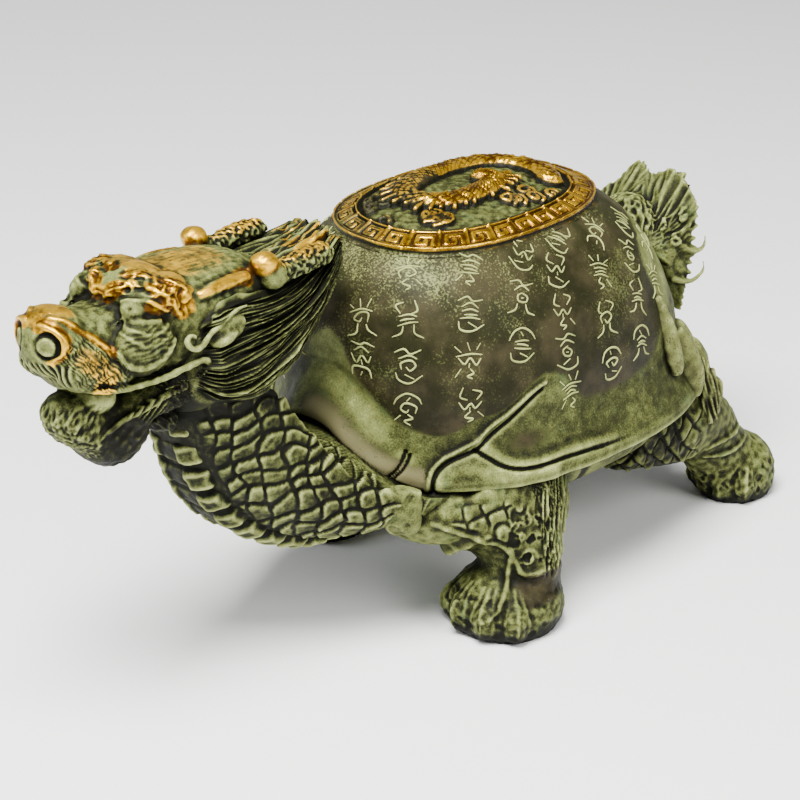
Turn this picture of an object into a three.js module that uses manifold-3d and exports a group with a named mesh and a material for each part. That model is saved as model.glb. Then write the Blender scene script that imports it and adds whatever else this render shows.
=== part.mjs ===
// A dragon turtle desk figure, cast in one piece: a domed tortoise shell with a flared rim of
// scutes, a raised dragon's head on a scaled neck, a mane, four stout legs and a flame tail.
// Millimetres, +Z up. The head looks along -Y, and +X is the figure's own left side.
import * as THREE from "three";
import { mergeVertices } from "three/addons/utils/BufferGeometryUtils.js";
import Module from "manifold-3d";

const wasm = await Module();
wasm.setup();

// Driving dimensions of the shell
const SHELL_LENGTH = 72; // rim to rim along the back
const SHELL_WIDTH = 57; // rim to rim across
const RIM_HEIGHT = 24; // from the ground to the rim's lower edge
const RIM_THICKNESS = 2.6; // the lip of the rim
const RIM_FLARE = 2.2; // how far the rim stands out past the dome
const DOME_RISE = 37; // from the rim's lower edge to the crown
const CROWN_LEAN = 5.6; // how far the crown sits ahead of the middle of the rim
const NECK_ARCH = 10; // how far the rim rises over the neck
const ARCH_SPREAD = 0.28; // how wide that rise is, in radians round the shell
const MEDALLION_SHARE = 0.46; // the medallion's radius, as a share of the dome's
const BAND_SHARE = 0.12; // the width of the fret band round the medallion, likewise
const MEDALLION_STEP = 0.6; // how far the band stands out
const COIL_HEIGHT = 1.4; // half the height of the beast coiled on the crown
const RIDGE_RADIUS = 0.7; // the raised line between the scutes

// Driving dimensions of the limbs, the neck, the head and the tail
const HEAD_LENGTH = 32; // from the mouth's hinge to the snout
const HEAD_HEIGHT = 57; // from the ground to the mouth's hinge
const NECK_REACH = 24; // from the shell's front edge to the mouth's hinge
const FRONT_LEG_DEPTH = 13; // front leg above the foot, front to back
const FRONT_LEG_THICKNESS = 12.5; // front leg above the foot, side to side
const HIND_LEG_DEPTH = 11.5; // hind leg above the foot, front to back
const HIND_LEG_THICKNESS = 11; // hind leg above the foot, side to side
const FOOT_HEIGHT = 10;
const TAIL_HEIGHT = 20; // the tail's flame above its root
const SCALE_RELIEF = 0.6; // how far a scale stands out
const STRIDE = 4; // how far the right front foot stands behind the left one

const HALF_LENGTH = SHELL_LENGTH / 2;
const HALF_WIDTH = SHELL_WIDTH / 2;
const ACROSS = new THREE.Vector3(1, 0, 0);
const UP = new THREE.Vector3(0, 0, 1);
const PERCENT = 0.01;

// Places, each in the units of the thing that it belongs to

// By the shell: x and y in percent of its half width and half length, z of the rim's height.
const shellPlace = (x, y, z) =>
  new THREE.Vector3(HALF_WIDTH * x, HALF_LENGTH * y, RIM_HEIGHT * z).multiplyScalar(PERCENT);

// In the head: side, ahead and up from the mouth's hinge, in percent of the head's length.
const headPlace = (side, ahead, above) =>
  new THREE.Vector3(side, -ahead, above)
    .multiplyScalar(HEAD_LENGTH * PERCENT)
    .add(new THREE.Vector3(0, -HALF_LENGTH - NECK_REACH, HEAD_HEIGHT));
const headSize = (...percents) => percents.map((percent) => percent * HEAD_LENGTH * PERCENT);

// In the neck: ahead in percent of its reach ahead of the shell, z of the hinge's height.
const neckPlace = (ahead, z) =>
  new THREE.Vector3(0, -HALF_LENGTH - NECK_REACH * ahead * PERCENT, HEAD_HEIGHT * z * PERCENT);

// In the tail: side, back and up from its root on the back of the shell, in percent of its height.
const tailPlace = (side, back, above) =>
  new THREE.Vector3(side, back, above)
    .multiplyScalar(TAIL_HEIGHT * PERCENT)
    .add(new THREE.Vector3(0, HALF_LENGTH * 0.91, RIM_HEIGHT + DOME_RISE * 0.31));
const tailSize = (...percents) => percents.map((percent) => percent * TAIL_HEIGHT * PERCENT);

// Solids

// A closed geometry as a manifold-3d solid.
function solid(geometry) {
  geometry.deleteAttribute("normal");
  geometry.deleteAttribute("uv");
  const merged = mergeVertices(geometry, 1e-4);
  return new wasm.Manifold(
    new wasm.Mesh({
      numProp: 3,
      vertProperties: merged.attributes.position.array,
      triVerts: new Uint32Array(merged.index.array),
    }),
  );
}

const join = (solids) => solids.reduce((sum, next) => sum.add(next));

// The same geometry on the figure's right side.
function mirrored(geometry) {
  const other = geometry.clone().applyMatrix4(new THREE.Matrix4().makeScale(-1, 1, 1));
  const index = other.index.array;
  for (let i = 0; i < index.length; i += 3) [index[i + 1], index[i + 2]] = [index[i + 2], index[i + 1]];
  return other;
}

const both = (geometry) => [solid(geometry.clone()), solid(mirrored(geometry))];

// An ellipsoid at a place, turned by Euler angles in degrees.
function ball(place, radii, { turn = [0, 0, 0], around = 6, over = 4 } = {}) {
  const [x, y, z] = turn.map(THREE.MathUtils.degToRad);
  return new THREE.SphereGeometry(1, around, over)
    .rotateX(Math.PI / 2)
    .scale(...radii)
    .applyQuaternion(new THREE.Quaternion().setFromEuler(new THREE.Euler(x, y, z)))
    .translate(...place);
}

// A closed surface from rings of equally many points, with a point at each end. The diagonals
// alternate, so that raising every other point makes rows of rhombic scales.
function skin(rings, first, last) {
  const sides = rings[0].length;
  const points = [...rings.flat(), first, last];
  const start = points.length - 2;
  const end = points.length - 1;
  const index = [];
  for (let i = 0; i + 1 < rings.length; i++)
    for (let j = 0; j < sides; j++) {
      const [a, b] = [i * sides + j, i * sides + ((j + 1) % sides)];
      if ((i + j) % 2) index.push(a, b, a + sides, b, b + sides, a + sides);
      else index.push(a, b, b + sides, a, b + sides, a + sides);
    }
  const top = (rings.length - 1) * sides;
  for (let j = 0; j < sides; j++) {
    const next = (j + 1) % sides;
    index.push(start, next, j, end, top + j, top + next);
  }
  return new THREE.BufferGeometry().setFromPoints(points).setIndex(index);
}

// A limb along stations of [place, half width, half depth]. The half width runs along `side`.
// The section is a superellipse, and relief(i, j) moves its points outwards.
function limb(stations, { side = ACROSS, rings = 6, sides = 8, square = 2, relief = () => 0 } = {}) {
  const line = new THREE.CatmullRomCurve3(stations.map(([place]) => place));
  const size = new THREE.CatmullRomCurve3(stations.map(([, w, d]) => new THREE.Vector3(w, d, 0)));
  const ringAt = (t, i) => {
    const tangent = line.getTangent(t);
    const wide = side.clone().addScaledVector(tangent, -side.dot(tangent)).normalize();
    const deep = tangent.clone().cross(wide);
    const { x: w, y: d } = size.getPoint(t);
    return Array.from({ length: sides }, (_, j) => {
      const angle = (j / sides) * 2 * Math.PI;
      const power = (v) => Math.sign(v) * Math.abs(v) ** (2 / square);
      const out = relief(i, j);
      return line
        .getPoint(t)
        .addScaledVector(wide, power(Math.cos(angle)) * (w + out))
        .addScaledVector(deep, power(Math.sin(angle)) * (d + out));
    });
  };
  const loops = Array.from({ length: rings + 1 }, (_, i) => ringAt(i / rings, i));
  const tip = (t, way) => {
    const { x: w, y: d } = size.getPoint(t);
    return line.getPoint(t).addScaledVector(line.getTangent(t), way * 0.6 * Math.min(w, d));
  };
  return skin(loops, tip(0, -1), tip(1, 1));
}

// The shell

// Half width and half length of the dome, inside the flared rim.
const DOME = { x: HALF_WIDTH - RIM_FLARE, y: HALF_LENGTH - RIM_FLARE };
const PLAN_POWER = 2.4; // squareness of the plan
const PROFILE_POWER = 2.7; // fullness of the profile
const END_FULLNESS = 0.8; // below 1 the front and back stay steep for longer than the sides
const signedPower = (value, power) => Math.sign(value) * Math.abs(value) ** power;

// How far the rim's arch over the neck reaches: 1 straight ahead, falling away to both sides.
const archAt = (angle) => Math.exp(-((Math.atan2(Math.cos(angle), -Math.sin(angle)) / ARCH_SPREAD) ** 2));

// A point round the shell at an angle, at a share of the plan and a height over the rim.
function shellPoint(angle, share, { flare = 0, height = 0, arch = 0 }) {
  const lean = CROWN_LEAN * Math.max(0, height / DOME_RISE);
  return new THREE.Vector3(
    signedPower(Math.cos(angle), 2 / PLAN_POWER) * (DOME.x * share + flare),
    signedPower(Math.sin(angle), 2 / PLAN_POWER) * (DOME.y * share ** END_FULLNESS + flare) - lean,
    RIM_HEIGHT + height + arch * NECK_ARCH * archAt(angle),
  );
}

// The dome's height over the rim at a share of its plan.
const domeHeight = (share) => DOME_RISE * (1 - share ** PROFILE_POWER) ** (1 / PROFILE_POWER);

// A point on the dome, at a lift off its surface.
const onDome = (angle, share, lift = 0) => shellPoint(angle, share, { height: domeHeight(share) + lift });

function carapace() {
  const sides = 32;
  const angleOf = (j) => (j / sides) * 2 * Math.PI;
  const ring = (share, options) =>
    Array.from({ length: sides }, (_, j) => shellPoint(angleOf(j), share, options));
  const rim = [
    ring(0.92, { height: -RIM_THICKNESS * 0.2, arch: 1 }),
    ring(1, { flare: RIM_FLARE * 0.8, height: 0, arch: 1 }),
    ring(1, { flare: RIM_FLARE, height: RIM_THICKNESS * 0.5, arch: 1 }),
    ring(1, { flare: RIM_FLARE * 0.7, height: RIM_THICKNESS, arch: 1 }),
    ring(0.965, { height: RIM_THICKNESS * 1.7, arch: 1 }),
    ring(0.985, { height: RIM_THICKNESS * 3.4, arch: 0.8 }),
  ];
  const band = MEDALLION_SHARE + BAND_SHARE;
  const wall = [0.97, 0.92, 0.84, 0.75].map((share, k) =>
    ring(share, { height: domeHeight(share), arch: Math.max(0, 0.4 - 0.2 * k) }),
  );
  const top = [
    [band + 0.01, 0],
    [band, MEDALLION_STEP],
    [MEDALLION_SHARE, MEDALLION_STEP],
    [MEDALLION_SHARE - 0.01, 0],
    [0.25, 0],
  ].map(([share, lift]) => ring(share, { height: domeHeight(share) + lift }));
  return skin(
    [...rim, ...wall, ...top],
    new THREE.Vector3(0, 0, RIM_HEIGHT / 2),
    new THREE.Vector3(0, -CROWN_LEAN, RIM_HEIGHT + DOME_RISE),
  );
}

// The beast coiled on the crown, inside the medallion.
function crownRelief() {
  const points = 9;
  const stations = Array.from({ length: points }, (_, k) => {
    const along = k / (points - 1);
    const place = onDome(Math.PI * (0.3 + 2.2 * along), 0.38 - 0.3 * along);
    return [place, COIL_HEIGHT * (1 - 0.2 * along), COIL_HEIGHT * (1.7 - 0.8 * along)];
  });
  return [solid(limb(stations, { side: UP, rings: 12, sides: 5 }))];
}

// The raised line that parts the front scute from the side scute: up from the rim, then back.
function scuteRidges() {
  const bends = [
    [-0.98, 1.0, 0.08],
    [-0.86, 0.97, 0.2],
    [-0.66, 0.975, 0.26],
    [-0.46, 0.985, 0.36],
    [-0.22, 0.98, 0.54],
  ];
  const stations = bends.map(([turn, share, rise]) => [
    shellPoint(turn, share, { height: DOME_RISE * rise }),
    RIDGE_RADIUS,
    RIDGE_RADIUS,
  ]);
  return both(limb(stations, { rings: 6, sides: 4 }));
}

// Tongue-shaped scutes that step down over each hind leg.
function rearScutes() {
  const tongues = [
    [67, 68, 127, 23],
    [65, 81, 108, 23],
    [63, 93, 76, 19],
  ];
  return tongues.flatMap(([x, y, z, half]) => {
    const radii = [RIM_FLARE, RIM_THICKNESS, RIM_HEIGHT * half * PERCENT];
    return both(ball(shellPlace(x, y, z), radii, { turn: [10, 0, -38] }));
  });
}

// The plastron and the flesh between the legs.
function belly() {
  const wide = HALF_WIDTH;
  const deep = RIM_HEIGHT * 0.34;
  return solid(
    limb(
      [
        [shellPlace(0, -88, 100), wide * 0.64, deep],
        [shellPlace(0, -40, 96), wide * 0.84, deep],
        [shellPlace(0, 30, 96), wide * 0.84, deep],
        [shellPlace(0, 74, 100), wide * 0.68, deep],
      ],
      { rings: 4, sides: 12, square: 2.6 },
    ),
  );
}

// The legs

// Toes fanned round the front of a foot, whose radius and middle are given.
function toes(centre, radius) {
  const fan = [-46, -14, 18, 52];
  return fan.map((degrees) => {
    const turn = THREE.MathUtils.degToRad(degrees);
    const out = new THREE.Vector3(Math.sin(turn), -Math.cos(turn), 0).multiplyScalar(radius * 0.78);
    const radii = [radius * 0.26, radius * 0.4, FOOT_HEIGHT * 0.36];
    return ball(centre.clone().add(out), radii, { turn: [0, 0, degrees], around: 5 });
  });
}

function foot(centre, radius) {
  const body = ball(centre, [radius * 0.86, radius * 0.92, FOOT_HEIGHT * 0.62], { around: 8, over: 5 });
  return [body, ...toes(centre, radius)];
}

function frontLeg() {
  const wide = FRONT_LEG_THICKNESS / 2;
  const deep = FRONT_LEG_DEPTH / 2;
  const scaly = (i, j) => (i <= 4 && (i + j) % 2 ? SCALE_RELIEF : 0);
  const leg = limb(
    [
      [shellPlace(52, -54, 92), wide * 1.6, deep * 1.5],
      [shellPlace(67, -45, 68), wide * 1.4, deep * 1.8],
      [shellPlace(77, -45, 46), wide * 1.04, deep * 1.04],
      [shellPlace(77, -47, 22), wide * 1.08, deep * 1.08],
    ],
    { rings: 6, sides: 12, relief: scaly },
  );
  const chest = ball(shellPlace(44, -70, 82), [wide * 1.6, deep * 1.5, RIM_HEIGHT * 0.26]);
  const left = [chest, leg, ...foot(shellPlace(78, -52, 14), wide * 1.54)];
  const right = left.map((form) => mirrored(form).translate(0, STRIDE, 0));
  return [...left, ...right].map(solid);
}

function hindLeg() {
  const wide = HIND_LEG_THICKNESS / 2;
  const deep = HIND_LEG_DEPTH / 2;
  const scaly = (i, j) => (i <= 3 && (i + j) % 2 ? SCALE_RELIEF : 0);
  const leg = limb(
    [
      [shellPlace(48, 38, 84), wide * 1.7, deep * 1.35],
      [shellPlace(56, 70, 74), wide * 1.5, deep * 1.35],
      [shellPlace(60, 90, 62), wide * 1.1, deep * 1.05],
      [shellPlace(61, 102, 38), wide * 0.98, deep * 0.98],
      [shellPlace(65, 114, 18), wide * 1.05, deep * 1.05],
    ],
    { rings: 7, sides: 10, relief: scaly },
  );
  return [leg, ...foot(shellPlace(65, 115, 15), wide * 1.3)].flatMap(both);
}

// The neck and the mane

function neck() {
  const scaly = (i, j) => (i >= 3 && i <= 11 && (i + j) % 2 ? SCALE_RELIEF : 0);
  const stations = [
    [-54, 42, 62, 24],
    [0, 43, 58, 25],
    [38, 49, 45, 31],
    [70, 62, 36, 34],
    [92, 78, 31, 31],
    [94, 94, 28, 28],
  ];
  return limb(
    stations.map(([ahead, z, w, d]) => [neckPlace(ahead, z), ...headSize(w, d)]),
    { rings: 14, sides: 24, relief: scaly },
  );
}

// Belly plates down the throat, each lapping over the one below.
function throatPlates() {
  const plates = 4;
  return Array.from({ length: plates }, (_, k) => {
    const down = k / (plates - 1);
    const place = neckPlace(116 - 38 * down ** 1.5, 68 - 26 * down);
    return solid(ball(place, headSize(16 + 8 * down, 7.5, 10), { turn: [-20 - 45 * down, 0, 0] }));
  });
}

function mane() {
  const locks = 5;
  const nape = ball(headPlace(0, -28, -6), headSize(27, 34, 26), { turn: [-24, 0, 0], around: 8, over: 5 });
  const strands = Array.from({ length: locks }, (_, k) => {
    const down = k / (locks - 1);
    return limb(
      [
        [headPlace(28 + 3 * down, 10 - 4 * down, 8 - 48 * down), ...headSize(4, 5)],
        [headPlace(31 + 3 * down, -6 - 6 * down, 4 - 40 * down), ...headSize(5, 6)],
        [headPlace(29 + 2 * down, -28 - 4 * down, 6 - 26 * down), ...headSize(5, 6)],
        [headPlace(15 - 4 * down, -66 - 8 * down, 13 - 6 * down), ...headSize(3, 4)],
      ],
      { rings: 3, sides: 4 },
    );
  });
  const crest = limb(
    [
      [headPlace(0, -34, 4), ...headSize(18, 15)],
      [headPlace(0, -58, 2), ...headSize(15, 11)],
      [headPlace(0, -84, 1), ...headSize(9, 8)],
    ],
    { rings: 3, sides: 8 },
  );
  return [solid(nape), solid(crest), ...strands.flatMap(both)];
}

// The head

function skull() {
  const stations = [
    [-36, -2, 18, 14],
    [-8, 2, 26, 24],
    [20, 5, 27, 24],
    [42, 6, 22, 22],
    [50, 6, 19, 15],
    [66, 6, 16, 15],
    [87, 4, 15, 19],
  ];
  return limb(
    stations.map(([ahead, above, w, d]) => [headPlace(0, ahead, above), ...headSize(w, d)]),
    { rings: 12, sides: 10, square: 2.3 },
  );
}

function jaw() {
  const bone = limb(
    [
      [headPlace(0, 10, -20), ...headSize(26, 13)],
      [headPlace(0, 31, -29), ...headSize(23, 17)],
      [headPlace(0, 50, -37), ...headSize(18, 18)],
      [headPlace(0, 67, -34), ...headSize(14, 16)],
      [headPlace(0, 81, -28), ...headSize(10, 11)],
    ],
    { rings: 5, sides: 8, square: 2.3 },
  );
  const pearl = ball(headPlace(0, 70, -17), headSize(14, 12, 10));
  return [bone, pearl];
}

// The features that come in pairs.
function features() {
  return {
    nostrilWing: ball(headPlace(8, 85, 12), headSize(8, 10, 11), { around: 7, over: 5 }),
    whiskerPad: ball(headPlace(10, 73, -1), headSize(9, 17, 12), { turn: [0, 0, 8] }),
    cheek: ball(headPlace(21, 48, 3), headSize(7, 16, 13)),
    eye: ball(headPlace(15, 46, 18), headSize(8, 6, 7)),
    ear: ball(headPlace(29, 12, 3), headSize(5, 16, 7), { turn: [24, 0, -8] }),
    knob: ball(headPlace(22, -19, 20), headSize(7, 7, 7)),
    brow: limb(
      [
        [headPlace(9, 45, 19), ...headSize(5, 5)],
        [headPlace(15, 42, 26), ...headSize(5, 6)],
        [headPlace(22, 33, 24), ...headSize(5, 6)],
        [headPlace(26, 14, 19), ...headSize(4, 5)],
        [headPlace(23, -14, 13), ...headSize(4, 5)],
      ],
      { rings: 5, sides: 4 },
    ),
    horn: limb(
      [
        [headPlace(22, -20, 12), ...headSize(8, 8)],
        [headPlace(22, -32, 16), ...headSize(7, 8)],
        [headPlace(21, -44, 16), ...headSize(6, 7)],
      ],
      { rings: 3, sides: 6 },
    ),
    lip: limb(
      [
        [headPlace(12, 84, -9), ...headSize(3, 4)],
        [headPlace(18, 66, -12), ...headSize(3, 4)],
        [headPlace(24, 44, -11), ...headSize(3, 4)],
        [headPlace(27, 26, -9), ...headSize(3, 4)],
      ],
      { rings: 4, sides: 4 },
    ),
  };
}

function head() {
  const middle = [skull(), ...jaw()].map(solid);
  return [...middle, ...Object.values(features()).flatMap(both)];
}

const nostrils = () => both(ball(headPlace(14, 88, 13), headSize(6, 7, 8)));

// The tail, a fan of flame-shaped locks

function tail() {
  const root = ball(tailPlace(0, 4, 30), tailSize(50, 34, 50), { around: 8, over: 5 });
  const tips = [
    [9, 30, 86],
    [34, 34, 90],
    [50, 38, 72],
    [24, 48, 78],
    [54, 44, 42],
    [30, 56, 46],
    [50, 46, 12],
    [34, 38, -34],
  ];
  const locks = tips.map(([side, back, above]) =>
    limb(
      [
        [tailPlace(side * 0.4, 6, 16 + above * 0.1), ...tailSize(13, 15)],
        [tailPlace(side * 0.85, 6 + back * 0.5, 8 + above * 0.55), ...tailSize(15, 16)],
        [tailPlace(side, back, above), ...tailSize(5, 6)],
      ],
      { rings: 3, sides: 4 },
    ),
  );
  const right = locks.map((lock) => mirrored(lock).translate(0, 0, -0.12 * TAIL_HEIGHT));
  return [root, ...locks, ...right].map(solid);
}

// The casting

const bodyParts = [
  solid(carapace()),
  ...crownRelief(),
  ...scuteRidges(),
  ...rearScutes(),
  belly(),
  ...frontLeg(),
  ...hindLeg(),
  solid(neck()),
  ...throatPlates(),
  ...mane(),
  ...head(),
  ...tail(),
];
const ground = solid(
  new THREE.BoxGeometry(SHELL_WIDTH * 4, SHELL_LENGTH * 6, RIM_HEIGHT).translate(0, 0, -RIM_HEIGHT / 2),
);
let casting = join(bodyParts);
for (const cut of [...nostrils(), ground]) casting = casting.subtract(cut);

const { vertProperties, triVerts } = casting.getMesh();
const geometry = new THREE.BufferGeometry()
  .setAttribute("position", new THREE.BufferAttribute(vertProperties, 3))
  .setIndex(new THREE.BufferAttribute(triVerts, 1));
geometry.computeBoundingBox();
geometry.computeVertexNormals();

const bronze = new THREE.MeshStandardMaterial({ color: 0x5f6b46, roughness: 0.55, metalness: 0.6 });
const turtle = new THREE.Mesh(geometry, bronze);
turtle.name = "dragon_turtle";

// The origin is on the ground, under the middle of the whole figure.
const { min, max } = geometry.boundingBox;
turtle.position.y = -(min.y + max.y) / 2;

const figure = new THREE.Group();
figure.add(turtle);
export default figure;
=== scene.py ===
# %% [markdown]
# # A dragon turtle, cast in metal
#
# The figure is one casting, about as long as a hand is wide. Its maker modelled it in wax: a
# domed shell with a flared rim, a scaled neck, a dragon's head with a mane swept back over the
# shell's front, four stout legs and a tail like a flame. After casting it was darkened, washed
# with a sage-green patina, and rubbed back to golden metal where hands would touch it.
#
# A script can work the way the wax was worked: rough forms are pressed together and smoothed
# into one skin, then scales, locks and signs are laid on it, and the patina comes last. Each
# region becomes a piece of its own, so that each can have as fine a mesh as its carving needs.

# %% The frame and its box
import math

import bpy
import numpy as np
from mathutils import Euler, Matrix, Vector, noise


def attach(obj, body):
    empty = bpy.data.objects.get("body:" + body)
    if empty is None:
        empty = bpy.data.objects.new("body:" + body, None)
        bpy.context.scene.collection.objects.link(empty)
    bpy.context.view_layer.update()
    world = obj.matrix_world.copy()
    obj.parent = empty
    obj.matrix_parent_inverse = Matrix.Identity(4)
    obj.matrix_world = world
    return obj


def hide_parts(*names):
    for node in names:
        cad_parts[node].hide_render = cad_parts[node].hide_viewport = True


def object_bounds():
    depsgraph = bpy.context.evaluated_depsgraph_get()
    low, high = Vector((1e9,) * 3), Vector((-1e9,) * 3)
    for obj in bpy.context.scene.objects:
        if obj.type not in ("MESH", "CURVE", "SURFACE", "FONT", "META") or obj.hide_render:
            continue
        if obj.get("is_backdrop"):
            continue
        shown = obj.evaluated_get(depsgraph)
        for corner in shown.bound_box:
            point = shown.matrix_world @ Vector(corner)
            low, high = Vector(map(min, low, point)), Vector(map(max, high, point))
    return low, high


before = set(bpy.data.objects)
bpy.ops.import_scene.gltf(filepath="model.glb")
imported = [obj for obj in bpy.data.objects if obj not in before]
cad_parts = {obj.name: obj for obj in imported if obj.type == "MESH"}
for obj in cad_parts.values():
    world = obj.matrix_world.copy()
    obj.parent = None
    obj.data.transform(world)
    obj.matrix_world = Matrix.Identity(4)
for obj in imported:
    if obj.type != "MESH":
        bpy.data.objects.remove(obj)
CAD_LOW, CAD_HIGH = (np.array(corner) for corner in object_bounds())
print("box of the solids, mm:", np.round((CAD_HIGH - CAD_LOW) * 1000, 1))

# %% [markdown]
# All forms are measured in millimetres from a point on the ground under the middle of the shell,
# because that is how the casting was laid out. One function turns such a place into the frame's
# metres. The shell's, the head's, the neck's and the tail's own places are given in percent of
# their own sizes, as a sculptor keeps proportions.

# %% Places
MM = 0.001
SHELL_MIDDLE = np.array([0, (CAD_LOW[1] + CAD_HIGH[1]) / 2 / MM + 21.525, 0])
SHELL_LENGTH, SHELL_WIDTH, RIM_HEIGHT, DOME_RISE = 72, 57, 24, 37
HEAD_LENGTH, HEAD_HEIGHT, NECK_REACH, TAIL_HEIGHT = 32, 57, 24, 20
HALF_LENGTH, HALF_WIDTH = SHELL_LENGTH / 2, SHELL_WIDTH / 2
print("shell, mm:", SHELL_LENGTH, "long,", SHELL_WIDTH, "wide,", RIM_HEIGHT + DOME_RISE, "high")


def to_frame(points):
    """Metres in the frame, from millimetres in the figure."""
    return (np.asarray(points, float) + SHELL_MIDDLE) * MM


def shell_at(x, y, z):
    """A place in percent of the shell's half width, half length and rim height."""
    return np.array([HALF_WIDTH * x, HALF_LENGTH * y, RIM_HEIGHT * z]) / 100


def head_at(side, ahead, above):
    """A place in percent of the head's length, from the hinge of the mouth."""
    hinge = np.array([0, -HALF_LENGTH - NECK_REACH, HEAD_HEIGHT])
    return hinge + np.array([side, -ahead, above]) * HEAD_LENGTH / 100


def head_size(*percents):
    return [percent * HEAD_LENGTH / 100 for percent in percents]


def neck_at(ahead, z):
    """A place on the neck's middle line: percent of its reach, and of the mouth's height."""
    return np.array([0, -HALF_LENGTH - NECK_REACH * ahead / 100, HEAD_HEIGHT * z / 100])


def tail_at(side, back, above):
    """A place in percent of the tail's height, from its root on the back of the shell."""
    root = np.array([0, HALF_LENGTH * 0.91, RIM_HEIGHT + DOME_RISE * 0.31])
    return root + np.array([side, back, above]) * TAIL_HEIGHT / 100

# %% [markdown]
# Most forms on the figure are round bars that swell and taper: legs, horns, locks of hair, even
# the skull. A curve with a bevel gives only round sections, so this helper lays rings of points
# along a smooth line instead, each with its own width and depth.

# %% Smooth lines
THINNEST, END_REACH = 0.02, 0.6


def unit(vectors):
    return vectors / np.maximum(np.linalg.norm(vectors, axis=-1, keepdims=True), 1e-12)


def signed_power(value, power):
    return np.sign(value) * np.abs(value) ** power


def through(stations, count):
    """A smooth row of `count` stations through a few given ones."""
    knots = np.asarray(stations, float)
    padded = np.vstack([2 * knots[0] - knots[1], knots, 2 * knots[-1] - knots[-2]])
    run = np.linspace(0, len(knots) - 1, count)
    start = np.minimum(run.astype(int), len(knots) - 2)
    t = (run - start)[:, None]
    before, here, there, after = (padded[start + k] for k in range(4))
    bend = 2 * before - 5 * here + 4 * there - after
    twist = 3 * here - before - 3 * there + after
    return 0.5 * (2 * here + (there - before) * t + bend * t**2 + twist * t**3)

# %% [markdown]
# The bar itself is a loft: rings across the line, joined by four-sided faces and closed by a
# point at each end. Each ring stands square to the line, so a bent bar doesn't pinch.

# %% Rings and limbs
def loft(rings, first, last):
    """Points and faces of a closed skin over rings, with a point at each end."""
    count, sides = rings.shape[:2]
    points = np.vstack([rings.reshape(-1, 3), first, last])
    row, column = np.meshgrid(np.arange(count - 1), np.arange(sides), indexing="ij")
    here = (row * sides + column).ravel()
    beside = (row * sides + (column + 1) % sides).ravel()
    quads = np.stack([here, beside, beside + sides, here + sides], 1)
    ring = np.arange(sides)
    following = (ring + 1) % sides
    start, end, top = count * sides, count * sides + 1, (count - 1) * sides
    low_cap = np.stack([np.full(sides, start), following, ring], 1)
    high_cap = np.stack([np.full(sides, end), top + ring, top + following], 1)
    return points, quads.tolist() + low_cap.tolist() + high_cap.tolist()


def frames_along(centre, side):
    """Tangent, width and depth directions along a line."""
    tangent = unit(np.gradient(centre, axis=0))
    if side is not None:
        wide = unit(side - tangent * (tangent @ np.asarray(side, float))[:, None])
        return tangent, wide, np.cross(tangent, wide)
    wide = np.empty_like(tangent)
    start = np.eye(3)[np.argmin(np.abs(tangent[0]))]
    for k, along in enumerate(tangent):
        start = unit(start - along * (along @ start))
        wide[k] = start
    return tangent, wide, np.cross(tangent, wide)


def limb(stations, sides=12, count=24, side=(1, 0, 0), square=2.0):
    """A closed bar through stations of x, y, z, half width and half depth."""
    line = through(stations, count)
    centre, size = line[:, :3], np.maximum(line[:, 3:], THINNEST)
    tangent, wide, deep = frames_along(centre, side)
    angle = np.arange(sides) * 2 * math.pi / sides
    across = size[:, :1] * signed_power(np.cos(angle), 2 / square)
    out = size[:, -1:] * signed_power(np.sin(angle), 2 / square)
    rings = centre[:, None] + wide[:, None] * across[..., None] + deep[:, None] * out[..., None]
    reach = END_REACH * size.min(1)
    return loft(rings, centre[0] - tangent[0] * reach[0], centre[-1] + tangent[-1] * reach[-1])

# %% [markdown]
# A ball of wax could be a primitive sphere. There are about a hundred of them, each stretched and
# turned, so they are laid out as rings like the limbs, and the clay collects both kinds as plain
# points and faces. A voxel remesh then fuses them into one skin and keeps only the outside, as
# fingers would smear the joints closed. A few rounds of smoothing soften the seams.

# %% Pieces and skins
def lone_select(piece):
    bpy.ops.object.select_all(action="DESELECT")
    piece.select_set(True)
    bpy.context.view_layer.objects.active = piece


def apply(piece, kind, **settings):
    """Adds one modifier to a piece and applies it."""
    modifier = piece.modifiers.new(kind.title(), kind)
    for name, value in settings.items():
        setattr(modifier, name, value)
    lone_select(piece)
    bpy.ops.object.modifier_apply(modifier=modifier.name)


def mesh_piece(name, points, faces):
    mesh = bpy.data.meshes.new(name)
    mesh.from_pydata(to_frame(points).tolist(), [], faces)
    piece = bpy.data.objects.new(name, mesh)
    bpy.context.scene.collection.objects.link(piece)
    return piece


def one_skin(piece, voxel, rounds):
    """Fuses a piece's forms, with voxels of that many millimetres, and softens the seams."""
    apply(piece, "REMESH", mode="VOXEL", voxel_size=voxel * MM)
    apply(piece, "SMOOTH", factor=0.5, iterations=rounds)
    return piece

# %% [markdown]
# The clay collects forms until a piece is complete. Legs, horns and claws come in pairs, so it
# can take a form together with its mirror image, whose faces are turned round to point outwards.

# %% Clay and balls
class Clay:
    """Closed forms that overlap, waiting to be one piece."""

    def __init__(self):
        self.points = []
        self.faces = []
        self.count = 0

    def press(self, form):
        points, faces = form
        self.points.append(np.asarray(points, float))
        self.faces += [[corner + self.count for corner in face] for face in faces]
        self.count += len(points)

    def both(self, form, stride=0):
        """The form on the left side, and its mirror image on the right, further back by stride."""
        points, faces = form
        self.press(form)
        self.press((points * [-1, 1, 1] + [0, stride, 0], [face[::-1] for face in faces]))

    def piece(self, name):
        return mesh_piece(name, np.vstack(self.points), self.faces)

    def fused(self, name, voxel, rounds):
        return one_skin(self.piece(name), voxel, rounds)


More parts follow.
